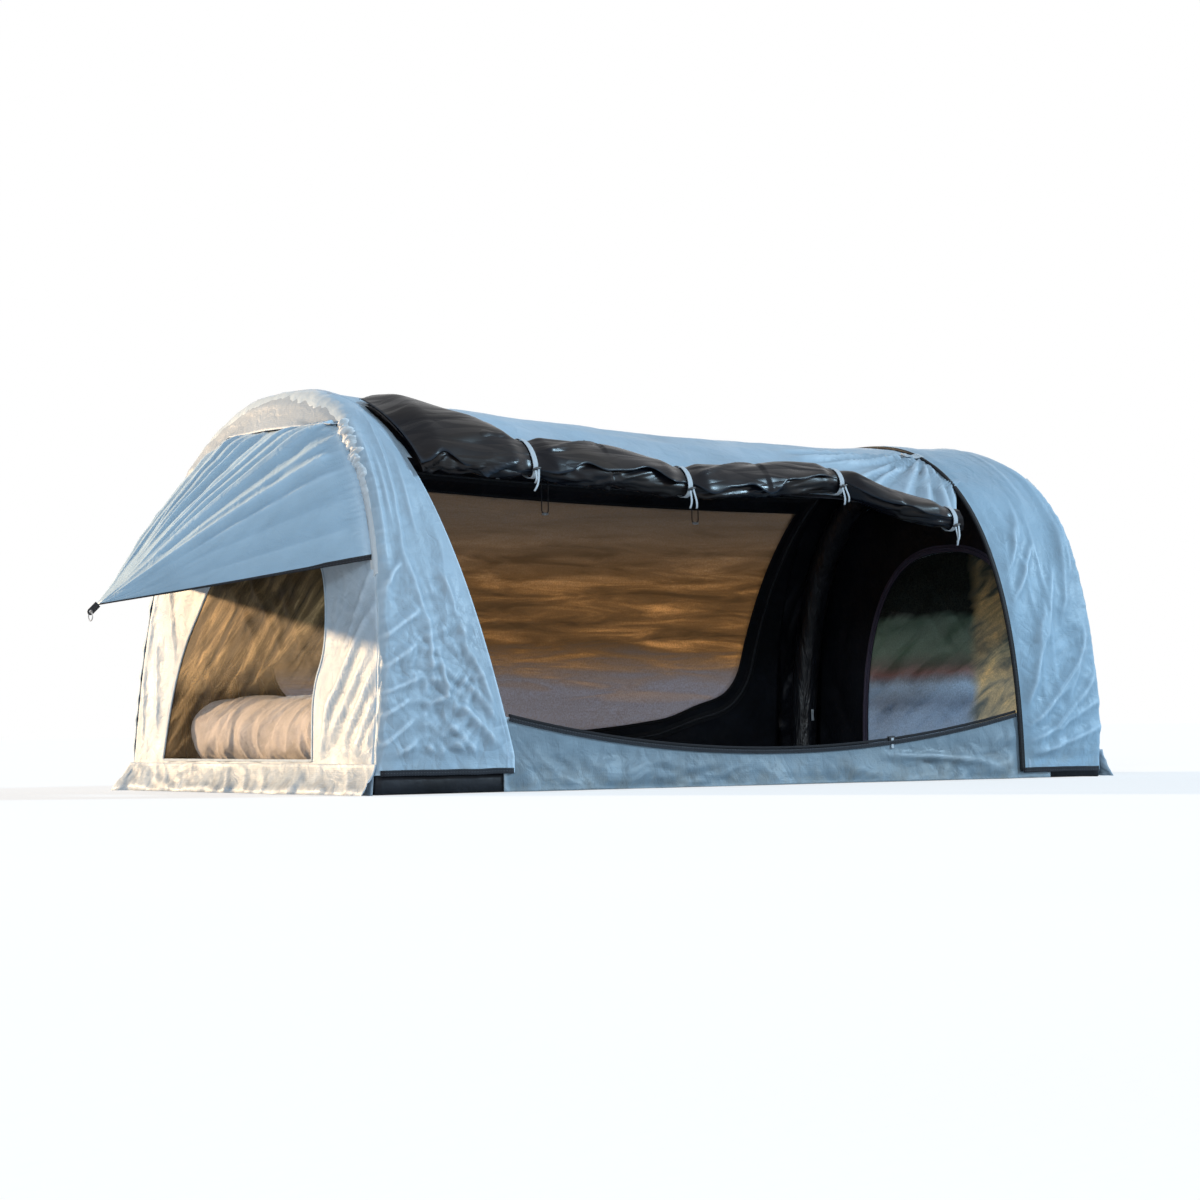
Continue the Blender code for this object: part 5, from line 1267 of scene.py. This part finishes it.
def d_outline(grow):
    """The far mesh door in side view, from its top head corner round by the foot, and its top corners."""
    count = 120
    top_distance = np.linspace(DOOR_START, DOOR_TOP_STOP, count)
    top = body_point(top_distance, np.full(count, math.pi - DOOR_TOP_ANGLE))[:, (0, 2)]
    top[:, 1] += grow
    top[0, 0] -= grow
    top[-1, 0] += grow
    left, right = at(DOOR_START) - grow, at(DOOR_STOP) + grow
    low_left, low_right = (sill(at(end)) + DOOR_SILL - grow for end in (DOOR_START, DOOR_STOP))
    corner = 0.12 + grow
    turn = np.linspace(0, math.pi / 2, 30)
    across, down = corner * np.cos(turn), corner * np.sin(turn)
    foot_corner = np.stack([right - corner + across, low_right + corner - down], -1)
    x = np.linspace(right - 2 * corner, left + 2 * corner, count)
    base = np.stack([x, sill(x) + DOOR_SILL - grow], -1)
    head_corner = np.stack([left + corner - down, low_left + corner - across], -1)
    lower = eased(np.concatenate([top[-1:], foot_corner, base, head_corner, top[:1]]), 900, 22)
    return spaced(np.concatenate([top, lower]), 2400)[:-1], np.stack([top[0], top[-1]])


def far_side():
    """The far wall with its D-shaped mesh door, and the zip round that."""
    count, rows = 400, 15
    centre = np.array((0.08, 0.45))
    hole, hole_corners = d_outline(0.0)
    roof_line = body_point(np.linspace(0.0, LENGTH, count), np.full(count, math.pi - FAR_ROOF_ANGLE))
    roof_line = roof_line[:, (0, 2)]

    def z_top(x):
        return np.interp(x, roof_line[:, 0], roof_line[:, 1]) - 0.0015

    z = np.linspace(NEAR_GROUND, float(z_top(-0.90)), 300)
    head_edge = np.stack([HEAD.edge(z) - 0.026, z], -1)
    head_edge[:, 1] = np.minimum(head_edge[:, 1], z_top(head_edge[:, 0]))
    foot_x = FOOT.edge(z) + 0.150
    foot_edge = np.stack([foot_x, np.minimum(z, z_top(foot_x))], -1)[::-1]
    x = np.linspace(head_edge[-1, 0], foot_edge[0, 0], count)
    top = np.stack([x, z_top(x)], -1)
    base = np.linspace(foot_edge[-1], head_edge[0], count)
    edge = spaced(np.concatenate([head_edge, top, foot_edge, base]), 5000)
    corners = np.stack([head_edge[0], head_edge[-1], foot_edge[0], foot_edge[-1]])
    turns = ray_turns(320, centre, hole_corners, corners)
    flat = between(star(hole, centre, turns), star(edge, centre, turns), rows)
    x, z = flat[..., 0], flat[..., 1]
    points = side_skin(x, z, 1)
    share = np.linspace(0, 1, rows)[:, None]
    lift = 0.004 * crumple(x, z, 0.15, 6) + 0.004 * ridges(x / 0.35, z / 0.06, 4)
    lift = np.clip(lift, -0.002, 0.010) * ease(share, 0, 0.15) * ease(1 - share, 0, 0.15)
    lift *= ease(x, HEAD.edge(z) - 0.01, HEAD.edge(z) + 0.05) * ease(FOOT.edge(z) - x, 0.0, 0.05)
    panel = cloth("far_panel_cloth", points, lift, (SILVER, LINING), node="far_door_panel",
                  flat=(1.72, 0.90), wrap=True)
    hole, _ = d_outline(-0.0006)
    turns = ray_turns(230, centre, hole_corners)
    rim = star(hole, centre, turns)
    share = np.linspace(0, 1, 46)[:, None, None]
    flat = centre + (rim[None] - centre) * share
    x, z = flat[..., 0], flat[..., 1]
    points = side_skin(x, z, 1, SKIN + 0.0006)
    lift = 0.0045 * ridges(x / 0.45, z / 0.055, 5) + 0.004 * noise(x / 0.3, z / 0.09, 8)
    lift = lift * ease(1 - share[..., 0], 0.0, 0.12)
    cloth("far_door_net", points, lift, (FAR_MESH, FAR_MESH), node="far_door_mesh", flat=(1.6, 0.75),
          wrap=True, thickness=NET)
    far_zips()
    return panel


def far_zips():
    """The D door's coil zip on the inside, its tape, and the binding round the mesh."""
    points = closed(d_outline(0.040)[0], 400)
    inner = side_skin(points[:, 0], points[:, 1], 1, SKIN + 0.0052)
    sweep("far_zip_coil", inner, (0, 1, 0), flat_section(0.0050, 0.006), FAR_ZIP, node="far_door_zip",
          loop=True)
    tape = side_skin(points[:, 0], points[:, 1], 1, SKIN + 0.0026)
    sweep("far_zip_tape", tape, (0, 1, 0), flat_section(0.0012, 0.026), ZIP, loop=True)
    points = closed(d_outline(0.003)[0], 400)
    rim = side_skin(points[:, 0], points[:, 1], 1, SKIN + 0.0016)
    sweep("far_mesh_binding", rim, (0, 1, 0), flat_section(0.0040, 0.010), PIPING, loop=True)


# Rolled side doors


def roll_shape(distance, side):
    """The roll's middle and half angle round the arch, half its thickness, and its lift off the roof."""
    if side > 0:
        low, high, depth, seat = 53.5, 64.0, 0.031, 0.0
    else:
        head = 1 - ease(distance, ROLL_START, 0.50)
        edges = smooth_line(ROLL_EDGES, 200)
        low, high = (np.interp(distance, edges[:, 0], edges[:, k]) for k in (1, 2))
        tucked = 1 - ease(distance, 0.17, 0.27)
        depth = 0.031 - 0.008 * head - 0.016 * tucked - 0.004 * ease(distance, 1.45, 1.83)
        seat = 0.0008 + 0.001 * head
    return np.radians(low + high) / 2, np.radians(high - low) / 2, depth, seat


def pinch_at(distance):
    """How far each tie draws the roll in: 1 away from the ties, less at each."""
    pull = np.zeros_like(distance)
    for place in TIE_PLACES:
        pull = np.maximum(pull, 1 - ease(np.abs(distance - place), 0.010, 0.060))
    return pull


def roll_point(distance, turn, reach, side, shift=0.0):
    """A point of the roll's section: turn 0 at its upper edge, a quarter turn on its outer face."""
    middle, half, depth, seat = roll_shape(distance, side)
    pull = pinch_at(distance)
    scale = 1 - 0.17 * pull
    angle = middle + half * scale * reach * np.cos(turn)
    height = seat + 0.0026 * pull + depth * scale * (1 + reach * np.sin(turn)) + shift
    point = body_point(distance, angle) + arch_normal(angle) * height[..., None]
    point[..., 1] *= -side
    return point


def door_roll(side):
    """The door's cloth wound into a loose roll: black lining outside, drawn in at each tie."""
    label = SIDES[side]
    rows = 300 if side < 0 else 160
    distance = np.linspace(ROLL_START + 0.012, ROLL_END, rows)[:, None]
    turn = np.linspace(0.0, 2 * math.pi * ROLL_TURNS, 150 if side < 0 else 90)[None]
    layer = turn / (2 * math.pi)
    reach = 1.0 - 0.13 * layer
    wrapped = turn % (2 * math.pi)
    near_tie = pinch_at(distance)
    seed = 50 + side
    run = distance - nearest_tie(distance)
    gathered = np.exp(-np.abs(run) / 0.10)
    slant = wrapped + 5.0 * run + 0.8 * noise(distance * 3.0, 0.0, seed)
    long_fold = ridges(slant * 1.05, distance * 1.9, seed) - 0.45
    long_fold += 0.8 * (ridges(slant * 2.1 + 3.0, distance * 2.6, seed + 3) - 0.45)
    crease = crumple(wrapped * 0.10, distance, 0.13, seed + 5)
    pleat = np.abs(np.sin(wrapped * 4.0 + 1.8 * noise(distance * 5, wrapped, seed))) - 0.5
    fold = 0.20 * long_fold + 0.09 * crease + 0.15 * pleat * gathered
    outer = 1 - ease(layer, 0.9, 1.15)
    upper_edge = 0.5 + 0.5 * np.cos(wrapped)
    reach = reach * (1 + fold * (0.25 + 0.75 * outer) * (1 - 0.7 * near_tie) * (1 - 0.5 * upper_edge ** 3))
    distance = distance + head_slant(distance, turn)
    points = roll_point(distance, turn, np.clip(reach, 0.30, 1.16), side)
    obj = grid_mesh(f"{label}_roll_cloth", points, flip=side < 0)
    dress(obj, ROLLED, "tent", f"{label}_door_roll")
    return obj


def head_slant(distance, turn):
    """How far the roll's lower side starts behind its upper one, along the head cover's edge."""
    return 0.024 * (1 - np.cos(turn)) * (1 - ease(distance, ROLL_START, 0.45))


def nearest_tie(distance):
    """The place of the tie that is nearest to each distance."""
    places = np.array(TIE_PLACES)
    return places[np.argmin(np.abs(distance[..., None] - places), axis=-1)]


def loose_layer(side):
    """The last turn of the roll, that hangs over its outer face with a wavy free edge."""
    label = SIDES[side]
    rows = 240
    distance = np.linspace(ROLL_START + 0.016, ROLL_END - 0.02, rows)[:, None]
    across = np.linspace(0, 1, 26)[None]
    stop = 2.25 + 0.65 * noise(distance / 0.17, 0.0, 4 + side) + 0.3 * noise(distance / 0.06, 0.0, 7)
    turn = 0.15 + (stop - 0.15) * across
    pull = pinch_at(distance)
    run = distance - nearest_tie(distance)
    slant = turn + 6.0 * run
    edge = ease(across, 0.55, 1.0)
    gathered = np.exp(-np.abs(run) / 0.08)
    reach = 1.05 + 0.16 * ridges(slant * 1.1, distance * 1.6, 12) * (1 - pull)
    pleat = np.abs(np.sin(turn * 4.5 + 2 * noise(distance * 6, turn, 5))) - 0.3
    reach = reach + 0.10 * pleat * gathered * (1 - pull)
    reach = reach + 0.13 * edge * (1 - pull) * (0.4 + 0.6 * noise(distance / 0.11, across, 3))
    distance = distance + head_slant(distance, turn)
    points = roll_point(distance, turn, reach - 0.05 * pull, side, 0.0008)
    return cloth(f"{label}_roll_flap", points, 0 * turn * distance, (ROLLED, ROLLED),
                 thickness=0.0009)


def tie(number, place, side):
    """A strap round the roll, with a toggle and two loose tails."""
    label = SIDES[side]
    name = f"{label}_tie_{number}"
    count = 64
    turn = np.linspace(0, 2 * math.pi, count, endpoint=False)
    distance = np.full(count, place) + 0.004 * np.sin(turn)
    ring = roll_point(distance, turn, 1.10 + 0 * turn, side, 0.0006)
    width = flat_section(0.0014, 0.014)
    away = ring - ring.mean(0)
    away[:, 0] = 0
    pieces = [sweep(name + "_strap", ring, away, width, STRAP, node=name, loop=True)]
    index = round(140 / 360 * count)
    outer, out = ring[index], away[index] / np.linalg.norm(away[index])
    rod = np.linspace(-0.011, 0.011, 9)[:, None] * np.array((1.0, 0.0, 0.25)) + outer + out * 0.0050
    swell = 1 + 0.25 * np.cos(np.linspace(-math.pi, math.pi, 9))
    pieces.append(sweep(name + "_toggle", rod, (0, 0, 1), round_section(0.0034, 10), PLASTIC, scale=swell))
    rng = np.random.default_rng(60 + number + side)
    for tail in range(2):
        lean = rng.uniform(-0.35, 0.35)
        length = rng.uniform(0.034, 0.052)
        step = np.linspace(0, 1, 12)[:, None]
        shift = np.array((lean * length, side * 0.004, 0.0))
        line = outer + out * (0.0048 + 0.003 * tail) + (tail - 0.5) * np.array((0.008, 0, 0))
        line = line + step * shift + step ** 0.8 * np.array((0, 0, -length))
        line = line + out * 0.007 * np.sin(step * math.pi)
        pieces.append(sweep(f"{name}_tail_{tail}", line, (1, 0, 0), flat_section(0.0055, 0.0012), STRAP))
    return join(pieces, name + "_strap")


# Floor and bedding


def tray():
    """The groundsheet: a wrinkled floor with its edges turned up."""
    lo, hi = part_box("groundsheet")
    half_x, half_y, height = (hi.x - lo.x) / 2, (hi.y - lo.y) / 2, hi.z
    middle = (hi.x + lo.x) / 2
    a = np.concatenate([[-half_x - height, -half_x - height / 2], np.linspace(-half_x, half_x, 120),
                        [half_x + height / 2, half_x + height]])[None]
    b = np.concatenate([[-half_y - height, -half_y - height / 2], np.linspace(-half_y, half_y, 66),
                        [half_y + height / 2, half_y + height]])[:, None]
    rise = np.maximum(np.abs(a) - half_x, np.abs(b) - half_y).clip(0.0)
    inner = (rise == 0) & (np.abs(a) < half_x) & (np.abs(b) < half_y)
    wrinkle = 0.0011 * (1 + crumple(a, b, 0.11, 3)) * inner
    points = np.stack(np.broadcast_arrays(middle + a.clip(-half_x, half_x), b.clip(-half_y, half_y),
                                          0.0012 + wrinkle + rise * (1 - 0.0012 / height)), -1)
    return cloth("groundsheet_cloth", points, 0 * rise, (GROUND, GROUND), node="groundsheet",
                 centre=np.array((0, 0, 3.0)), thickness=0.0010)


def mat():
    """The sleeping mat: a soft-edged pad with sewn channels along and across it."""
    lo, hi = (np.array(corner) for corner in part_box("sleeping_mat"))
    centre, half = (lo + hi) / 2, (hi - lo) / 2 - 0.001
    count = 110
    turn = np.linspace(0, 2 * math.pi, count, endpoint=False)[None]
    share = np.linspace(-1, 1, count)[:, None]
    end = (1 - np.abs(share) ** 26) ** (1 / 3)
    power = 2 / 5.5
    y = half[1] * np.sign(np.cos(turn)) * np.abs(np.cos(turn)) ** power
    z = half[2] * np.sign(np.sin(turn)) * np.abs(np.sin(turn)) ** power
    channel = np.exp(-(((y / 0.14) % 1 - 0.5) / 0.06) ** 2) * (np.sin(turn) > 0)
    cross = np.exp(-(((share * half[0] / 0.32) % 1 - 0.5) / 0.022) ** 2) * (np.sin(turn) > 0)
    z = z * end - 0.006 * np.maximum(channel, cross) * end
    y = y * (0.985 + 0.015 * end)
    points = np.stack(np.broadcast_arrays(centre[0] + half[0] * share + 0 * y, centre[1] + y,
                                          centre[2] + z), -1)
    obj = grid_mesh("sleeping_mat_pad", points, wrap=True, caps=True)
    face_outwards(obj)
    dress(obj, PAD, "tent", "sleeping_mat")
    return obj


def bolster():
    """Rolled bedding across the head end, with drawn-in ends and deep folds round it."""
    middle_x, middle_z = at(0.135), MAT_TOP + BOLSTER_RADIUS - BOLSTER_SINK
    share = np.linspace(0, 1, 190)[:, None]
    turn = np.linspace(0, 2 * math.pi, 84, endpoint=False)[None]
    inset = np.minimum(share, 1 - share) * BOLSTER_LENGTH / BOLSTER_RADIUS
    crown = np.sqrt(np.clip(1 - (1 - np.clip(inset, 0, 1)) ** 2, 0, 1))
    radius = BOLSTER_RADIUS * (0.30 + 0.70 * crown)
    wander = share * 8 + 0.7 * np.sin(turn + 0.8) + 1.1 * noise(share * 6, turn / 2, 3)
    fold = np.abs((wander % 1) - 0.5) * 2
    small = ridges(share * 24 + 2.0 * np.sin(turn + 1.0), turn * 1.1, 5)
    radius = radius * (1 + 0.035 * (fold - 0.5) * 2 + 0.055 * (small - 0.5)
                       + 0.04 * noise(share * 12, turn, 8))
    x, z = middle_x + radius * np.cos(turn), middle_z + radius * np.sin(turn)
    points = np.stack(np.broadcast_arrays(x, (share - 0.5) * BOLSTER_LENGTH,
                                          np.maximum(z, MAT_TOP + 0.001)), -1)
    obj = grid_mesh("bolster_roll", points, wrap=True, caps=True)
    face_outwards(obj)
    dress(obj, BEDDING, "tent", "bolster")
    return obj


# Air arches


def beam(end):
    """An air tube in its black sleeve, wrinkled across the inside of its bends."""
    rows, columns = 240, 36
    inset = 0.0066 + BEAM_RADIUS if end.sign < 0 else SKIN + BEAM_RADIUS * math.cos(math.pi / 14)
    angles, run = even_angles(rows, end.ridge - inset, 0.053)
    y, z = arch(angles, end.ridge, inset)
    line = np.stack([end.beam(z), y, z], -1)
    turn = np.linspace(0, 2 * math.pi, columns, endpoint=False)
    obj = sweep(end.name + "_sleeve", line, (1, 0, 0), round_section(0.0372, columns), SLEEVE,
                node=end.name + "_air_beam")
    rings = np.array([vertex.co for vertex in obj.data.vertices]).reshape(rows, columns, 3)
    mid = rings.mean(1, keepdims=True)
    p, q = run[:, None], turn[None] * BEAM_RADIUS
    pucker = ridges(p / 0.05, q / 0.11, 16) * 0.6 + ridges(p / 0.02, q / 0.06, 2) * 0.4
    factor = 1 - 0.035 * pucker
    rings = mid + (rings - mid) * factor[..., None]
    obj.data.vertices.foreach_set("co", rings.reshape(-1).astype(np.float32))
    obj.data.update()
    return obj


# Small pieces


def hanging_loop(number, place):
    """A long webbing loop under the roof, with a bead at its foot."""
    angle = math.pi - math.radians(66.0)
    pivot = body_point(np.array(place), np.array(angle), 2 * SKIN + 0.0011)
    turn = np.linspace(0, 2 * math.pi, 48, endpoint=False)
    centre = np.where(np.sin(turn) > 0, 1.0, -1.0) * (LOOP_HALF_HEIGHT - LOOP_CORNER) - LOOP_HALF_HEIGHT
    line = pivot + np.stack([0.0105 * np.cos(turn), 0 * turn, centre + 0.0105 * np.sin(turn)], -1)
    loop = sweep(f"far_loop_{number}_cord", line, (0, 1, 0), flat_section(0.0022, 0.0032), DARK_STRAP,
                 body=f"loop_{number}", node=f"far_loop_{number}", loop=True)
    rod = pivot + np.linspace(-0.0090, 0.0090, 9)[:, None] * (1, 0, 0) + (0, 0, -2 * LOOP_HALF_HEIGHT)
    swell = 1 + 0.2 * np.cos(np.linspace(-math.pi, math.pi, 9))
    bead = sweep(f"far_loop_{number}_bead", rod, (0, 1, 0), round_section(0.0035, 10), PALE_PLASTIC,
                 body=f"loop_{number}", scale=swell)
    return join([loop, bead], f"far_loop_{number}_cord")


def pull_strip(name, node, body, axis):
    """A short folded webbing pull that hangs from its hinge."""
    lo, hi = (np.array(corner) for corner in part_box(node))
    top = np.array(((lo[0] + hi[0]) / 2, (lo[1] + hi[1]) / 2, hi[2]))
    length = hi[2] - lo[2]
    step = np.linspace(0, 1, 16)[:, None]
    line = top - step * (0, 0, length) + 0.0006 * np.sin(step * 4) * np.array((0, 1, 0))
    width = hi[0] - lo[0]
    swell = 1 + 0.06 * np.cos(step[:, 0] * 2 * math.pi)
    return sweep(name, line, axis, flat_section(width * 0.95, 0.0018), STRAP, body=body, node=node,
                 scale=swell)


def sill_zip():
    """The zip along the curved sill: its teeth, and the binding under them."""
    start, stop = float(HEAD.edge(0.14)) + 0.003, float(FOOT.edge(0.14)) - 0.011
    x = np.linspace(start, stop, 220)
    teeth = np.stack([x, ZIP_Y + 0 * x, sill(x) + 0.0048], -1)
    coil = sweep("sill_zip_coil", teeth, (0, 1, 0), flat_section(0.0036, 0.0070), ZIP, node="near_zip_track")
    line = np.stack([x, side_skin(x, sill(x) - 0.006, -1)[:, 1] - 0.0026, sill(x) - 0.004], -1)
    tape = sweep("sill_binding", line, (0, 1, 0), flat_section(0.0024, 0.010), DARK_HEM)
    return [coil, tape]


def ridge_strap():
    """The pale webbing strap that joins the roof to the foot cover."""
    count, angle = 20, 12.6 * math.pi / 32
    distance = np.linspace(1.832, 1.894, count)
    line = body_point(distance, np.full(count, angle)) + arch_normal(np.full(count, angle)) * 0.0070
    line = line + np.outer(0.0022 * np.sin(np.linspace(0, 9, count)), arch_normal(np.array([angle]))[0])
    along = body_point(distance, np.full(count, angle + 0.02))
    along = along - body_point(distance, np.full(count, angle - 0.02))
    return sweep("ridge_strap", line, along, flat_section(0.027, 0.0020), STRAP, node="ridge_tab")


for each in ENDS:
    cover(each)
    end_wall(each)
    cap_flap(each)
    awning(each)
    ruffle(each)
    tip_tab(each)
    skirt(each)
    beam(each)
foot_piping()
roof()
near_sill()
far_side()
for each in SIDES:
    door_roll(each)
    loose_layer(each)
    for index, spot in enumerate(TIE_PLACES, 1):
        tie(index, spot, each)
tray()
mat()
bolster()
for index, spot in enumerate(LOOP_PLACES, 1):
    hanging_loop(index, spot)
pull_strip("sill_zip_pull", "near_zip_pull", "zip_pull", (1, 0, 0))
pull_strip("sleeve_pull_strip", "foot_sleeve_pull", "sleeve_pull", (1, 0, 0))
sill_zip()
ridge_strap()

for node, material in (("head_valve", PLASTIC), ("foot_valve", PLASTIC), ("head_valve_cap", PLASTIC),
                       ("foot_valve_cap", PLASTIC), ("head_valve_pin", PALE_PLASTIC),
                       ("foot_valve_pin", PALE_PLASTIC), ("head_awning_ring", STEEL),
                       ("foot_awning_ring", STEEL), ("near_zip_slider", PLASTIC)):
    for material_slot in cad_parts[node].material_slots:
        material_slot.material = material

# Floor, lights and camera


def pale_when_seen(tree, lit, seen):
    """A colour that is pale to the camera and in reflections, and lights the object with another."""
    path = tree.nodes.new("ShaderNodeLightPath")
    sight = path.outputs["Is Camera Ray"]
    for ray in ("Is Glossy Ray", "Is Transmission Ray"):
        either = tree.nodes.new("ShaderNodeMath")
        either.operation = "MAXIMUM"
        tree.links.new(sight, either.inputs[0])
        tree.links.new(path.outputs[ray], either.inputs[1])
        sight = either.outputs[0]
    choice = tree.nodes.new("ShaderNodeMix")
    choice.data_type = "RGBA"
    tree.links.new(sight, choice.inputs[0])
    choice.inputs[6].default_value = (*lit, 1.0)
    choice.inputs[7].default_value = (*seen, 1.0)
    return choice.outputs[2]


def floor():
    s = Shader("studio_floor")
    tone = s.mix(s.span(s.noise(0.8, 3.0), 0.3, 0.7), (0.76, 0.77, 0.78), (0.79, 0.80, 0.81))
    s.close(tone, 0.95, s.bump(s.noise(60.0, 2.0), 0.002, 0.1), gloss=0.1)
    output = s.tree.nodes["Material Output"]
    lit = output.inputs["Surface"].links[0].from_socket
    glow = s.add("ShaderNodeEmission", {"Color": (1.0, 1.0, 1.0, 1.0), "Strength": 1.30})
    seen = s.add("ShaderNodeLightPath").outputs["Is Camera Ray"]
    both = s.add("ShaderNodeMixShader", {0: s.math("MULTIPLY", seen, 0.50), 1: lit, 2: glow})
    s.tree.links.new(both.outputs[0], output.inputs["Surface"])
    data = bpy.data.meshes.new("studio_floor")
    reach, level = 30, -0.0003
    corners = [(-reach, -reach, level), (reach, -reach, level), (reach, reach, level), (-reach, reach, level)]
    data.from_pydata(corners, [], [(0, 1, 2, 3)])
    data.materials.append(s.material)
    obj = bpy.data.objects.new("studio_floor", data)
    bpy.context.scene.collection.objects.link(obj)


def sun(name, direction, softness, power, colour):
    data = bpy.data.lights.new(name, "SUN")
    data.angle = math.radians(softness)
    data.energy = power
    data.color = colour
    obj = bpy.data.objects.new(name, data)
    obj.rotation_mode = "QUATERNION"
    obj.rotation_quaternion = (-Vector(direction)).to_track_quat("-Z", "Y")
    obj.location = Vector(direction)
    bpy.context.scene.collection.objects.link(obj)


def studio():
    """A low warm key from behind the far side, a cool top light from the foot's near side, a weak cool fill
    from the head's near side, and a soft sky.
    """
    floor()
    sun("key", (-3.2, 5.1, 1.0), 3.0, 6.0, (1.0, 0.68, 0.38))
    sun("sky_light", (3.2, -2.2, 2.1), 8.0, 2.3, (0.54, 0.80, 1.0))
    sun("fill", (-3.0, -2.5, 1.0), 8.0, 0.6, (0.75, 0.90, 1.0))
    world = bpy.data.worlds.new("studio")
    world.use_nodes = True
    back = world.node_tree.nodes["Background"]
    colour = pale_when_seen(world.node_tree, (0.27, 0.35, 0.43), (1.0, 1.0, 1.0))
    world.node_tree.links.new(colour, back.inputs["Color"])
    back.inputs["Strength"].default_value = 1.0
    bpy.context.scene.world = world


def camera():
    """The photograph's view, found by fitting both arches and the footprint to it."""
    turn, tilt, roll = math.radians(-34.794), math.radians(2.092), math.radians(-0.700)
    forward = Vector((-math.sin(turn) * math.cos(tilt), math.cos(turn) * math.cos(tilt), math.sin(tilt)))
    level = Vector((math.cos(turn), math.sin(turn), 0.0))
    above = level.cross(forward)
    right = level * math.cos(roll) + above * math.sin(roll)
    up = above * math.cos(roll) - level * math.sin(roll)
    data = bpy.data.cameras.new("camera")
    data.sensor_width = 36.0
    data.lens = 36.0 * 3274.0 / 1200.0
    obj = bpy.data.objects.new("camera", data)
    turned = Matrix((right, up, -forward)).transposed()
    obj.matrix_world = Matrix.Translation((-4.8226, -6.8459, 0.163)) @ turned.to_4x4()
    bpy.context.scene.collection.objects.link(obj)
    bpy.context.scene.camera = obj


studio()
camera()
bpy.context.scene.view_settings.view_transform = "Standard"
